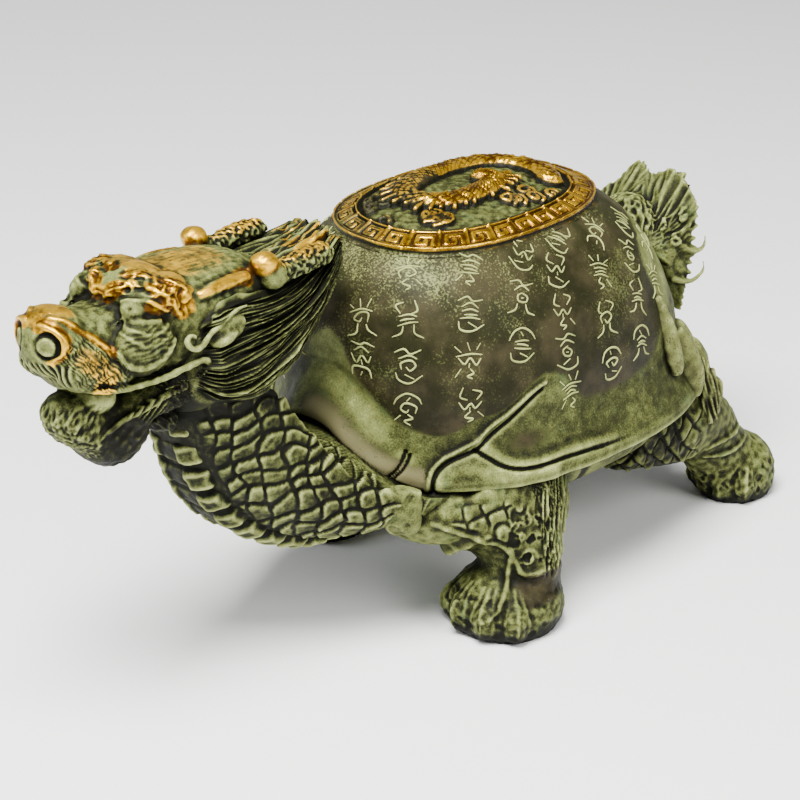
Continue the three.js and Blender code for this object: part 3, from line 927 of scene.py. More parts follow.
note(medallion, "bare", np.clip(0.9 - inside * fall(beast, -0.1, 0.5) * 0.75, 0, 1))
dress(medallion)

# %% [markdown]
# Columns of shallow signs run down the shell. On the real figure they are an inscription; here
# they are strokes of no script, drawn from a seeded list of bars, hooks, arcs and rings, so that
# they keep the rhythm of the columns without saying anything. Each stroke is a thin ridge that
# lies on the shell's surface, and the light wash has stayed on them.

# %% Strokes of the signs
SIGN_TOPS = [
    [[(0.05, 0.36), (0.2, 0.14), (0.55, 0.06), (0.86, 0.2), (0.98, 0.4)], [(0.46, 0.18), (0.52, 0.3)]],
    [
        [(0.14, 0.02), (0.3, 0.2)], [(0.56, 0.0), (0.5, 0.2)], [(0.95, 0.1), (0.74, 0.24)],
        [(0.1, 0.33), (0.5, 0.28), (0.9, 0.34)],
    ],
    [[(0.1, 0.12), (0.4, 0.02), (0.6, 0.14), (0.92, 0.06)], [(0.22, 0.3), (0.5, 0.2), (0.8, 0.3)]],
    [[(0.3, 0.0), (0.18, 0.26), (0.42, 0.36)], [(0.62, 0.04), (0.9, 0.14), (0.72, 0.34)]],
]
SIGN_MIDDLES = [
    [
        [(0.5, 0.36), (0.68, 0.44), (0.64, 0.6), (0.42, 0.62), (0.33, 0.48), (0.5, 0.36)],
        [(0.47, 0.5), (0.56, 0.5)],
    ],
    [
        [(0.24, 0.42), (0.5, 0.38), (0.78, 0.44)], [(0.3, 0.52), (0.54, 0.49), (0.72, 0.54)],
        [(0.2, 0.6), (0.5, 0.6), (0.84, 0.66)],
    ],
    [[(0.3, 0.62), (0.26, 0.42), (0.56, 0.36), (0.74, 0.5), (0.58, 0.62), (0.46, 0.52)]],
    [[(0.16, 0.4), (0.3, 0.6), (0.5, 0.42), (0.68, 0.6), (0.86, 0.4)], [(0.5, 0.56), (0.5, 0.66)]],
]
SIGN_FEET = [
    [[(0.34, 0.68), (0.28, 0.86), (0.02, 1.0)], [(0.64, 0.68), (0.72, 0.88), (1.0, 0.96)]],
    [[(0.1, 0.72), (0.18, 0.92), (0.56, 0.98), (0.96, 0.78)], [(0.42, 0.74), (0.7, 0.84)]],
    [[(0.18, 1.0), (0.24, 0.78), (0.52, 0.7), (0.8, 0.78), (0.84, 1.0)], [(0.5, 0.84), (0.52, 0.96)]],
    [[(0.5, 0.68), (0.36, 0.82), (0.6, 0.9), (0.44, 1.0)], [(0.76, 0.7), (0.94, 0.9)]],
]
SIGN_WIDTH, SIGN_HEIGHT, SIGN_PITCH, STROKE_HALF = 4.8, 5.4, 6.0, 0.17
COLUMNS = [
    [(-81.0, 8.5), (-78.5, 7.2), (-78.0, 5.9)],
    [(-65.5, 10.8), (-62.5, 9.25), (-61.3, 8.0), (-61.3, 7.1), (-61.8, 6.2), (-63.0, 4.9)],
    [(-32.8, 10.8), (-36.0, 9.35), (-38.0, 8.1), (-39.7, 7.2), (-41.0, 6.35), (-42.5, 5.2)],
    [(-6.0, 10.8), (-13.0, 9.75), (-18.0, 8.45), (-21.2, 7.45), (-23.5, 6.5)],
    [(8.0, 10.8), (-0.2, 9.7), (-5.0, 8.2), (-7.5, 7.15), (-9.0, 6.15), (-9.8, 5.0)],
    [(26.2, 10.4), (12.5, 9.0), (6.0, 7.75), (2.8, 6.75), (1.7, 5.3)],
    [(50.0, 9.6), (31.0, 8.65), (21.2, 7.55), (15.5, 6.6), (12.0, 5.5)],
    [(56.0, 8.3), (37.5, 7.65), (29.3, 6.6)],
]

# %% [markdown]
# A stroke is laid on the skin by moving each place along it to the nearest place of the shell.
# The same helper later lays claws, curls and hair on the legs and the head.

# %% Bars laid on a skin
def laid(piece, stations, count=40, sides=8, lift=0.0):
    """A bar whose middle line lies on a piece's skin, lifted by a share of its own radius."""
    line = through(stations, count)
    for row in line:
        _, place, normal, _ = piece.closest_point_on_mesh(Vector(to_frame(row[:3])))
        row[:3] = np.array(place + normal * lift * row[3] * MM) / MM - SHELL_MIDDLE
    return limb(line, sides, count)


def sign(draws, middle, across, down):
    """The strokes of one sign round a place on the shell, as thin bars laid on its skin."""
    bars = []
    flip = draws.random() < 0.5
    for group in (SIGN_TOPS, SIGN_MIDDLES, SIGN_FEET):
        for stroke in group[draws.integers(len(group))]:
            stroke = np.array(stroke) + draws.uniform(-0.03, 0.03, (len(stroke), 2)) - 0.5
            if flip:
                stroke[:, 0] *= -1
            line = middle + stroke[:, :1] * SIGN_WIDTH * across + stroke[:, 1:] * SIGN_HEIGHT * down
            half = np.full((len(line), 1), STROKE_HALF)
            half[[0, -1]] *= 0.6
            bars.append(laid(carapace, np.hstack([line, half]), 4 * len(line), 5, -0.1))
    return bars

# %% [markdown]
# Each column runs down the shell between fixed places, and the signs are spread along it at an
# even pitch. The other side gets the same columns with other signs, read from the same side of
# each, so they aren't mirror images.

# %% The signs
clay = Clay()
draws = np.random.default_rng(21)
wash_left = []
for column in COLUMNS:
    line = on_shell(column, 80)
    count = max(int(run_along(line)[-1] / SIGN_PITCH + 0.35), 1)
    stops = (even_steps(line, 2 * count + 1)[1::2] * 79).astype(int)
    for mirror in (1, -1):
        for stop in stops:
            down = unit(line[stop + 1] - line[stop - 1])
            outward = unit(line[stop] - [0, -CROWN_LEAN, RIM_HEIGHT])
            across = unit(np.cross(down, outward))
            turned = np.array([mirror, 1, 1])
            level = across * turned * mirror
            for points, faces in sign(draws, line[stop] * turned, level, down * turned):
                clay.press((points, faces))
                wash_left += [draws.uniform(0.5, 0.9)] * len(points)
signs = clay.piece("shell_signs")
note(signs, "pale", wash_left)
note(signs, "relief", 0.5)
dress(signs)

# %% [markdown]
# The neck is one bar from the chest to the jaw. Its scales are blunt rhombs, wider than they are
# long, in rows that climb towards the shell. Modelling some hundred scales one by one would never
# look pressed from one skin, so a fine bar is carved instead. The rows are laid out on a flat
# plane that faces the camera and then pushed through the neck, with some drift and a different
# height for each scale, because that gives rows of the right slant on the side that is seen.

# %% The neck's form
NECK = [
    (-54, 42, 62, 24), (0, 43, 58, 25), (38, 49, 45, 31), (70, 62, 36, 34), (92, 78, 31, 31),
    (94, 94, 28, 28),
]
PLANE_RIGHT, PLANE_UP = [0.719, 0.695, 0], [-0.283, 0.292, 0.914]
SCALE_STEPS = [[3.0, 0.3], [0.8, -2.2]]


def lapping_scales(folded, seed):
    """A height for each scale, and the shape of its face from 0 to 1, for folded places."""
    right, up = folded @ PLANE_RIGHT, folded @ PLANE_UP
    right = right + 0.9 * lumps(folded, 6, seed) + 0.18 * lumps(folded, 2.0, seed + 2)
    up = up + 0.8 * lumps(folded, 5, seed + 1)
    across, down = np.linalg.inv(SCALE_STEPS) @ [right, up]
    draws = np.random.default_rng(seed)
    table = draws.uniform(0.45, 1.25, (64, 64))
    scale = table[np.floor(across).astype(int) % 64, np.floor(down).astype(int) % 64]
    across, down = np.mod(across, 1) - 0.5, np.mod(down, 1) - 0.5
    shape = ramp(0.5 - np.abs(across), 0, 0.12) * ramp(0.5 - np.abs(down), 0, 0.15)
    shape *= ramp(0.76 - np.abs(across + down), 0, 0.16)
    return scale, shape * (0.58 - 0.75 * down - 0.45 * across)

# %% [markdown]
# The rim rests on the neck, so the bar is kept under the rim's edge, and the scales fade out
# there and beside the throat. The neck is painted with light and shade: lighter near the rim,
# darker away from it, less dark on proud scales than in the grooves round them, and darker
# beside the throat and under the mouth.

# %% The neck as a piece
THROAT = [
    (0, -36, 17.0, 6.0, 2.4),
    (0, -44, 18.0, 6.2, 2.4),
    (0, -50.5, 20.9, 6.0, 2.6),
    (0, -56, 25.0, 5.6, 2.8),
    (0, -60.4, 30.2, 5.2, 2.8),
    (0, -63.0, 35.6, 4.8, 2.8),
    (0, -64.6, 41.2, 4.4, 2.6),
    (0, -65.0, 46.0, 4.0, 2.4),
]
stations = [[*neck_at(ahead, z), *head_size(w, d)] for ahead, z, w, d in NECK]
points, faces = limb(stations, 310, 200)
folded = fold(points)
rim_edge = on_shell([(turned, 1.1) for turned in range(-90, -39, 2)], 90)
nearest = np.argmin([np.linalg.norm(folded - place, axis=1) for place in rim_edge], axis=0)
edge = rim_edge[nearest]
outward = ((folded - edge) * unit(edge * [1, 1, 0])).sum(1)
ceiling = edge[:, 2] - 0.7 + 0.3 * np.maximum(outward, 0) + np.maximum(outward - 8, 0)
points[:, 2] = np.minimum(points[:, 2], ceiling)
neck = mesh_piece("neck", points, faces)
folded = fold(points)
to_rim = away(folded, rim_edge)
to_throat = away(points, through(THROAT, 60)[:, :3])
fade = ramp(to_rim + 0.8 * lumps(folded, 2.5, 3), 2.6, 5.4) * ramp(to_throat, 5.6, 7.4)
scale, shape = lapping_scales(folded, 17)
carve(neck, fade * (0.85 * shape * scale - 0.22) + 0.05 * lumps(points, 0.8, 6))
note_relief(neck, 8, 0.16)
lit = shape * scale * fade
# Painted shade on the neck, with painted light near the rim.
neck_shade = ramp(to_rim, 3.0, 9) * (0.76 - 0.66 * lit)
shade_under_mouth = 0.3 * fall(to_throat, 6, 10) + 0.9 * ramp(points[:, 2], 43, 45)
note(neck, "painted_shade", neck_shade - 0.25 + shade_under_mouth)
dress(neck)

# %% [markdown]
# The throat has plates like a snake's belly: each spans the throat, has a raised frame and a
# hollow middle, and is parted from the next by a deep cut.

# %% The throat
PLATE_PITCH, THROAT_SIDES, THROAT_RINGS = 4.4, 120, 130
points, faces = limb(THROAT, THROAT_SIDES, THROAT_RINGS, square=2.3)
throat = mesh_piece("throat_plates", points, faces)
stations = through(THROAT, THROAT_RINGS)
run = run_along(stations[:, :3])
way = np.append(np.repeat(run, THROAT_SIDES), [0, run[-1]])
half_width = np.interp(way, run, stations[:, 3])
to_cut = (0.5 - np.abs(np.mod(way / PLATE_PITCH, 1) - 0.5)) * PLATE_PITCH
from_side = (half_width - np.abs(points[:, 0])) * 1.3
within = np.minimum.reduce([to_cut - 0.65, from_side - 0.1, 3.9 - from_side])
within = within + 0.15 * lumps(points, 1.5, 2)
plate, plate_edge = ramp(within, -0.3, 0.35), bump(within - 0.5, 0.45)
heights = 0.42 * plate + 0.22 * plate_edge - 0.55 * bump(to_cut, 0.5)
carve(throat, heights + 0.10 * lumps(points, 1.2, 8))
note_relief(throat, 6, 0.16)
# Painted shade: the throat is dark all over, less so on the plates and their frames.
note(throat, "painted_shade", 0.95 - 0.7 * plate - 0.3 * plate_edge)
dress(throat)

# %% [markdown]
# Under the shell lies the plastron, broad and a little squared. Nobody sees it when the figure
# stands, but a casting is finished there too, so it gets a seam down its middle and the seams
# between its plates.

# %% The belly
stations = [
    [*shell_at(0, -84, 90), HALF_WIDTH * 0.48, RIM_HEIGHT * 0.28],
    [*shell_at(0, -40, 94), HALF_WIDTH * 0.80, RIM_HEIGHT * 0.33],
    [*shell_at(0, 30, 96), HALF_WIDTH * 0.84, RIM_HEIGHT * 0.34],
    [*shell_at(0, 74, 100), HALF_WIDTH * 0.68, RIM_HEIGHT * 0.34],
]
points, faces = limb(stations, 110, 70, square=2.6)
belly = mesh_piece("belly", points, faces)
seams = bump(points[:, 0], 0.45)
for seam in (-22, -9, 4, 16):
    seams = np.maximum(seams, bump(points[:, 1] - seam - 0.03 * points[:, 0] ** 2 / 3, 0.45))
carve(belly, -0.5 * seams * (points[:, 2] < RIM_HEIGHT * 0.9))
note_relief(belly, 6, 0.15)
note(belly, "bare", 0.2)
# Painted shade under the shell.
note(belly, "painted_shade", 0.55)
dress(belly)

# %% [markdown]
# Each leg is pressed from a bar and a few balls: the limb, the foot and four toes. They are
# fused into one skin, which rounds the joints. The relief comes after: rhombic scales on the
# thigh are carved, and edges, curls, hair and claws are thin bars laid on the skin and fused
# with it. The right front leg stands a little further back than the left one.

# %% Feet
FOOT_HEIGHT = 10
TOES = (-46, -14, 18, 52)
ROUND_SIDE = [0.72, 0.69, 0]


def toe_way(degrees):
    angle = math.radians(degrees)
    return np.array([math.sin(angle), -math.cos(angle), 0])


def foot(clay, centre, radius, stride):
    """A foot and its four toes, fanned round the front."""
    clay.both(ball(centre, [radius * 0.94, radius * 0.98, FOOT_HEIGHT * 0.7]), stride)
    for degrees in TOES:
        place = centre + toe_way(degrees) * radius * 0.78
        radii = [radius * 0.24, radius * 0.3, FOOT_HEIGHT * 0.34]
        clay.both(ball(place, radii, (0, 0, degrees)), stride)


def leg_bar(stations, rings):
    """A leg through stations of percent places on the shell and half sizes in millimetres."""
    return limb([[*shell_at(*station[:3]), *station[3:]] for station in stations], 40, rings)

# %% [markdown]
# Claws are thin bars laid on the toes, with a fold of skin on each side. They are drawn for the
# left foot, and their mirror images are laid on the right one.

# %% Claws
def both_sides(stations, stride=0):
    """A line's stations on the left side, and their mirror image on the right."""
    stations = np.asarray(stations, float)
    mirrored = stations.copy()
    mirrored[:, :3] = mirrored[:, :3] * [-1, 1, 1] + [0, stride, 0]
    return stations, mirrored


def lay_both(clay, skin, stations, stride, *shape):
    """Presses a bar laid on the left of a skin, and one on the right; shape as for laid."""
    for line in both_sides(stations, stride):
        clay.press(laid(skin, line, *shape))


def claws(clay, skin, centre, radius, stride):
    """A claw with a fold on each side of it, along every toe."""
    for degrees in TOES:
        for offset, reach, half in ((-8, 0.9, 0.22), (0, 1.03, 0.34), (8, 0.9, 0.22)):
            out, level = toe_way(degrees + offset), centre * [1, 1, 0]
            stations = [
                [*(level + out * radius * 0.55 + [0, 0, 7.2]), half * 0.6],
                [*(level + out * radius * 0.82 + [0, 0, 5.6]), half],
                [*(level + out * radius * reach + [0, 0, 3.0]), half * 0.9],
                [*(level + out * radius * (reach + 0.02) + [0, 0, 1.2]), half * 0.5],
            ]
            lay_both(clay, skin, stations, stride, 20, 8, 0.1)

# %% [markdown]
# Remeshing leaves far more faces than smooth places need. Once the carving is done, small faces
# are merged there, and each fused piece keeps its own number of triangles.

# %% Thinning, standing and joining
TRIANGLES = {"front_legs": 105_000, "hind_legs": 75_000, "rear_scutes": 26_000, "neck_pads": 8_000}
TRIANGLES |= {"head": 150_000, "tail": 80_000}


def thin_out(piece):
    """Merges small faces where the skin is smooth, down to the piece's own count."""
    apply(piece, "DECIMATE", ratio=min(TRIANGLES[piece.name] / triangles_of(piece), 1))


def stand(piece):
    """Flattens what would dip under the ground."""
    points = points_of(piece)
    points[:, 2] = np.maximum(points[:, 2], 0)
    move_to(piece, points)


def joined_over(base, clay, voxel, rounds):
    """Clay lines and the base they lie on, fused into one skin."""
    lines = clay.piece("lines")
    lone_select(base)
    lines.select_set(True)
    bpy.ops.object.join()
    return one_skin(base, voxel, rounds)

# %% [markdown]
# A curl is a spiral that winds inwards round a place on the skin and grows thicker on its way.
# One more helper tells where the points of a leg lie, with both legs folded to the left.

# %% Curls and places on the legs
def curl_line(place, normal, radius, thickness, turns=1.3, start=0.0):
    """Stations that wind inwards round a place on the skin, with its normal."""
    normal = unit(np.asarray(normal, float))
    one = unit(np.cross(normal, [0.3, 0.2, 1]))
    other = np.cross(normal, one)
    t = np.linspace(0, 1, 9)[:, None]
    angle = start + t * turns * 2 * math.pi
    reach = radius * (1 - 0.72 * t)
    centre = np.asarray(place) + one * np.cos(angle) * reach + other * np.sin(angle) * reach
    return np.hstack([centre, thickness * (0.6 + 0.5 * t)])


def leg_places(piece, stride):
    """Left-side places of both legs' points, and how far round the camera's side they lie."""
    points = points_of(piece)
    folded = fold(points) - (points[:, :1] < 0) * [0, stride, 0]
    return folded, folded @ ROUND_SIDE

# %% [markdown]
# The front leg is the one that is seen best. Its scaly shoulder ends in a raised edge, behind
# that edge lie curls and a flap, and a tuft of hair hangs down its outer side. Below a smooth
# worn ankle the foot is rough, with pits between the claws.

# %% Front legs
FRONT_LEG = [
    (52, -54, 92, 10, 9.75), (67, -45, 68, 8.75, 11.7), (77, -45, 46, 6.5, 6.76),
    (77, -47, 22, 6.75, 7.02),
]
FRONT_FOOT, FRONT_FOOT_RADIUS = shell_at(77, -52.5, 14), 9.3
STRIDE = 4
clay = Clay()
clay.both(ball(shell_at(44, -70, 82), [10, 9.75, RIM_HEIGHT * 0.26]), STRIDE)
clay.both(leg_bar(FRONT_LEG, 50), STRIDE)
foot(clay, FRONT_FOOT, FRONT_FOOT_RADIUS, STRIDE)
front_legs = clay.fused("front_legs", 0.4, 5)
print("front legs, smooth:", triangles_of(front_legs), "triangles")

# %% [markdown]
# The raised lines of the front leg are drawn once, on the left, and laid on both legs.

# %% Raised lines of the front legs
clay = Clay()
EDGE = [
    (18.7, -32.6, 20.2, 0.35), (20.4, -31.1, 19.4, 0.42), (21.8, -26.8, 17.1, 0.45),
    (24.0, -23.6, 15.5, 0.45), (25.2, -22.0, 13.7, 0.45), (25.0, -22.0, 10.8, 0.45),
    (25.5, -23.1, 8.0, 0.42), (26.4, -25.5, 6.2, 0.4), (26.7, -28.1, 4.7, 0.3),
]
FLAP = [
    (25.4, -21.9, 14.4, 0.3), (26.1, -21.2, 11.4, 0.45), (26.9, -20.5, 10.1, 0.5),
    (28.1, -18.5, 10.2, 0.5), (28.5, -15.7, 10.2, 0.35),
]
HAIR = [
    (25.4, -13.6, 24.0, 0.34), (27.0, -15.2, 18.5, 0.46), (27.9, -15.4, 13.6, 0.44),
    (28.2, -15.6, 8.6, 0.2),
]
for edge in (EDGE, FLAP):
    lay_both(clay, front_legs, edge, STRIDE, 50, 8, 0.35)
LEG_CURLS = [
    (26.9, -17.2, 18.6, 1.5), (28.0, -16.6, 13.2, 1.7), (27.0, -19.9, 12.8, 1.4),
    (27.6, -18.0, 15.9, 1.1), (26.2, -21.0, 16.4, 0.9), (26.4, -20.0, 19.0, 1.0),
    (25.6, -21.8, 18.4, 0.8),
]
for k, (x, y, z, radius) in enumerate(LEG_CURLS):
    curl = curl_line((x, y, z), (0.8, -0.5, 0.2), radius, 0.34, 1.15, k * 1.7)
    lay_both(clay, front_legs, curl, STRIDE, 30, 7, 0.6)
for k in range(6):
    aside = np.array(ROUND_SIDE) * (-2.1 + 0.78 * k)
    hair = through(HAIR[:3] + [np.add(HAIR[3], (0, 0, 0.5 * abs(k - 3), 0))], 15)
    hair[:, :3] += aside * np.interp(np.linspace(0, 1, 15), [0, 0.4, 1], [1.4, 1, 0.2])[:, None]
    hair[:, :2] += 0.3 * np.sin(np.linspace(0, 11, 15) + k * 2.3)[:, None]
    lay_both(clay, front_legs, hair, STRIDE, 60, 7, 0.8)
claws(clay, front_legs, FRONT_FOOT, FRONT_FOOT_RADIUS, STRIDE)
front_legs = joined_over(front_legs, clay, 0.27, 2)
print("front legs:", triangles_of(front_legs), "triangles before they are thinned")

# %% [markdown]
# The carving follows the photograph's regions: scales above the raised edge, hollows between the
# curls, fine hair at the back and pits on the foot.

# %% Carving the front legs
folded, round_side = leg_places(front_legs, STRIDE)
x, y, z = folded.T
edge_height = np.interp(round_side, [-9, -6.8, -2.8, 1, 3], [20.2, 19.4, 17.1, 15.5, 13.7])
scaly = ramp(z - edge_height, 0.8, 1.6) * fall(z, 21.4, 22.6)
scaly = scaly * fall(round_side, 2.2, 3.6) * ramp(round_side, -7.5, -5)
scale, shape = lapping_scales(folded, 23)
curled = ramp(round_side, 2.0, 3.4) * ramp(z, 11.5, 12.5) * fall(z, 20, 21.5) * fall(y, -17, -15.6)
on_foot = fall(z, 6, 7.5)
heights = scaly * (0.65 * shape * scale - 0.12) + 0.06 * lumps(folded, 1.1, 2)
heights -= 0.4 * curled * ramp(lumps(folded, 1.5, 7), 0.15, 0.5)
hairy = ramp(y, -18.5, -17) * ramp(z, 8.5, 10.5) * (x > 20)
combed = np.column_stack([round_side * 2.6, z * 0.3, 0 * z])
heights += 0.4 * hairy * (0.3 - 1.3 * np.abs(lumps(combed, 1, 4)))
to_front = fall(round_side, -3.5, 0.5)
heights -= on_foot * (0.08 + 0.14 * to_front) * ramp(lumps(folded, 1.2, 3), 0.3, 0.8)
heights += 0.06 * on_foot * lumps(folded, 0.8, 4)
carve(front_legs, heights)
stand(front_legs)
thin_out(front_legs)
note_relief(front_legs, 8, 0.16)
folded, round_side = leg_places(front_legs, STRIDE)
x, y, z = folded.T
band = ramp(z, 4.8, 6.4) * fall(z, 9.8, 11) * ramp(x, 24.2, 25.4) * ramp(y, -24, -21.5)
note(front_legs, "bare", 0.75 * band)
# Painted shade and light: darker at the sole and on the foot, lighter on the smooth top of the leg and
# a little on the hair.
sole = fall(z, 1.2, 2.4)
smooth_top = ramp(z, 21.5, 23.5) * fall(round_side, 3, 6)
hairy = ramp(y, -18, -16.5) * ramp(z, 8, 10)
on_foot = fall(z, 6.5, 8)
note(front_legs, "painted_shade", 0.6 * sole + 0.3 * on_foot - 0.35 * smooth_top - 0.15 * hairy)
dress(front_legs)

# %% [markdown]
# The hind legs are bent at the knee and made in the same way. Their scales are the smaller lapping
# rhombs, and two folds cross the knee.

# %% Hind legs
HIND_LEG = [
    (48, 38, 84, 9.35, 7.8),
    (56, 70, 74, 8.25, 7.8),
    (60, 90, 62, 6.05, 6.0),
    (61, 102, 38, 5.4, 5.65),
    (65, 114, 18, 5.8, 6.0),
]
HIND_FOOT, HIND_FOOT_RADIUS = shell_at(65, 115, 15), 7.15
clay = Clay()
clay.both(leg_bar(HIND_LEG, 60))
foot(clay, HIND_FOOT, HIND_FOOT_RADIUS, 0)
hind_legs = clay.fused("hind_legs", 0.4, 5)
clay = Clay()
claws(clay, hind_legs, HIND_FOOT, HIND_FOOT_RADIUS, 0)
KNEE_FOLDS = [
    [
        (20.5, 28.6, 14.0, 0.3), (22.6, 30.6, 13.6, 0.5), (23.4, 34.5, 13.8, 0.45),
        (22.0, 38.0, 14.6, 0.3),
    ],
    [
        (20.0, 30.6, 11.0, 0.3), (22.4, 32.8, 10.6, 0.45), (23.2, 36.6, 11.0, 0.4),
        (21.6, 40.2, 11.6, 0.3),
    ],
]
for knee in KNEE_FOLDS:
    lay_both(clay, hind_legs, knee, 0, 30, 8, 0.3)
hind_legs = joined_over(hind_legs, clay, 0.28, 2)
print("hind legs:", triangles_of(hind_legs), "triangles before they are thinned")

# %% [markdown]
# The hind legs' scales are counted round the leg and down it, without a table of heights, because
# they are small and even. Below the ankle the foot has the same pits as in front.

# %% Carving the hind legs
folded, round_side = leg_places(hind_legs, 0)
z = folded[:, 2]
scaly = ramp(z, 11.5, 13.5) * fall(z, 21, 23) * fall(round_side, 33, 35)
shape = scale_heights(round_side / 3.0 + 0.15 * lumps(folded, 5, 1), -z / 4.8)
on_foot = fall(z, 6, 7.5)
heights = scaly * (shape * (1 + 0.5 * lumps(folded, 2, 5)) - 0.3) + 0.08 * lumps(folded, 1.1, 2)
heights -= 0.2 * on_foot * ramp(lumps(folded, 1.3, 3), 0.3, 0.8)
heights += 0.06 * on_foot * lumps(folded, 0.8, 4)
carve(hind_legs, heights)
stand(hind_legs)
thin_out(hind_legs)
note_relief(hind_legs, 8, 0.16)
folded, round_side = leg_places(hind_legs, 0)
note(hind_legs, "bare", 0.3 * ramp(folded[:, 2], 11, 14))
# Painted shade: a little darker all over, and much darker except where the leg lies furthest round to
# the camera's side.
note(hind_legs, "painted_shade", 0.8 * fall(round_side, 29, 34) + 0.15)
dress(hind_legs)

# %% [markdown]
# Three tongue-shaped scutes hang over the rim's rear corner, and a rounded pad closes the gap
# between the rim, the neck and the front leg.

# %% Rear scutes and pads
SCUTES = [
    [
        (21.6, 14.4, 43.0, 1.1, 0.7), (23.2, 15.5, 38.5, 1.45, 1.0), (24.2, 16.5, 33.6, 1.5, 1.1),
        (24.5, 17.2, 30.4, 1.0, 0.8),
    ],
    [
        (21.2, 20.2, 35.4, 1.5, 0.8), (22.5, 21.7, 31.8, 2.0, 1.1), (23.2, 22.7, 27.6, 2.1, 1.2),
        (23.3, 22.5, 24.6, 1.5, 0.9),
    ],
    [
        (21.2, 26.4, 28.4, 1.4, 0.8), (22.5, 28.0, 24.6, 1.8, 1.1), (23.2, 27.9, 21.2, 1.8, 1.1),
        (23.2, 26.9, 18.8, 1.2, 0.8),
    ],
]
PAD = [
    (17.2, -36.8, 26.6, 2.8, 1.3), (17.2, -37.0, 24.8, 3.0, 1.5), (17.0, -36.6, 21.6, 2.9, 1.5),
    (16.6, -35.8, 19.6, 2.3, 1.2),
]
clay = Clay()
for x, y, z, half in ((67, 68, 127, 23), (65, 81, 108, 23), (63, 93, 76, 19)):
    radii = [RIM_FLARE, RIM_THICKNESS, RIM_HEIGHT * half / 100]
    clay.both(ball(shell_at(x, y, z), radii, (10, 0, -38), 40))
for stations in SCUTES:
    clay.both(limb(stations, 28, 40, (0.6, 0.8, 0), 2.6))
tongues = clay.fused("rear_scutes", 0.24, 2)
points = fold(points_of(tongues))
lined = fall(away(points, through(SCUTES[2], 30)[:, :3]), 1.8, 2.6) * ramp(points[:, 2], 15, 17)
combed = np.column_stack([points @ [0.6, 0.8, 0.2] * 2.2, points[:, 2] * 0.35, points[:, 0] * 0.3])
streaks = lumps(combed, 1, 3)
carve(tongues, 0.3 * lined * streaks + 0.06 * lumps(points, 1.5, 3))
thin_out(tongues)
note_relief(tongues, 6, 0.14)
note(tongues, "bare", 0.42)
# Painted light: the scutes are painted a little lighter.
note(tongues, "painted_shade", -0.25)
dress(tongues)

clay = Clay()
clay.both(limb(PAD, 40, 50, ROUND_SIDE, 3.2))
pads = clay.fused("neck_pads", 0.25, 3)
points = points_of(pads)
carve(pads, 0.06 * lumps(points, 1.4, 5) - 0.14 * ramp(lumps(points, 2.2, 6), 0.3, 0.6))
thin_out(pads)
note_relief(pads, 6, 0.14)
dress(pads)

# %% [markdown]
# The head was the maker's pride: a snout with ringed nostrils, a pad of combed whiskers, a
# wrinkled cheek, a brow of golden scrolls over the eye, horns, and a pearl held in the mouth.
# Its places are in millimetres to the side, ahead and up from the hinge of the mouth. Broad
# forms come first, then bars for every raised line, and all are fused, so that the lines grow
# out of the skin.

# %% Shaping the head
HINGE = head_at(0, 0, 0)


def in_head(places):
    return HINGE + np.asarray(places, float)[..., :3] * [1, -1, 1]


def head_bar(stations, sides=12, count=30, square=2.0):
    stations = np.asarray(stations, float)
    return limb(np.hstack([in_head(stations), stations[:, 3:]]), sides, count, square=square)


def head_ball(place, radii, turn=(0, 0, 0)):
    return ball(in_head(place), radii, turn, 32)


def head_places(points):
    """Points folded to the left, and how far each lies to the side, ahead and above the hinge."""
    folded = fold(points)
    return folded, *((folded - HINGE).T * np.array([[1], [-1], [1]]))

# %% [markdown]
# The broad forms are those that make the outline: the skull, the jaw with its hanging chin, the
# pearl, the nose, the brows, the cheeks, the eyes and the horns with their knobs.

# %% Broad forms of the head
SKULL = [
    (0, -11.5, -0.6, 5.8, 4.5),
    (0, -2.6, 0.6, 8.3, 7.6),
    (0, 6.4, 1.5, 8.5, 7.6),
    (0, 12.6, 1.9, 7.2, 6.8),
    (0, 16.2, 1.7, 6.0, 4.6),
    (0, 21.1, 1.7, 5.1, 4.4),
    (0, 26.4, 1.4, 4.9, 5.4),
]
JAW = [
    (0, 3.2, -6.2, 8.3, 3.2),
    (0, 9.9, -7.9, 7.3, 3.4),
    (0, 14.6, -9.0, 6.4, 3.2),
    (0, 17.4, -12.2, 5.2, 5.5),
    (0, 20.6, -11.1, 4.6, 3.9),
    (0, 23.6, -9.0, 4.0, 3.5),
    (0, 25.4, -7.0, 3.3, 2.7),
]
HORN = [
    (7, -8.2, 4.4, 1.5), (7.1, -11.0, 4.9, 1.7), (7.0, -14.4, 5.2, 1.8), (6.9, -17.2, 5.2, 1.7),
    (6.7, -18.8, 4.8, 1.2),
]
PEARL, PEARL_RADII = (0, 20.6, -6.3), (4.9, 3.3, 2.5)
HEAD_BALLS = [
    ((0, 9.0, -13.0), (5.0, 2.2, 2.5)),
    (PEARL, PEARL_RADII),
    ((0, 26.2, 3.2), (5.1, 4.3, 5.0)),
    ((0, 12.6, 7.6), (6.8, 5.0, 3.5), (10, 0, 0)),
    ((3.4, 22.8, -0.3), (3.2, 5.4, 3.9), (0, 0, 8)),
    ((6.4, 15.6, 0.9), (2.7, 5.1, 4.2)),
    ((4.6, 11.6, 7.2), (3.9, 4.6, 3.0), (14, 0, 0)),
    ((5.3, 16.4, 6.2), (1.8, 1.7, 1.7)),
    ((6.0, 19.6, -1.6), (1.8, 3.4, 2.0)),
    ((9.6, 3.6, 0.6), (1.5, 3.4, 2.2), (24, 0, -8)),
    ((7.2, -6.0, 7.2), (2.0, 2.0, 2.1)),
    ((7.8, -7.2, 5.0), (1.9, 2.4, 2.0)),
]
clay = Clay()
clay.press(head_bar(SKULL, 48, 60, 2.3))
clay.press(head_bar(JAW, 48, 40, 2.5))
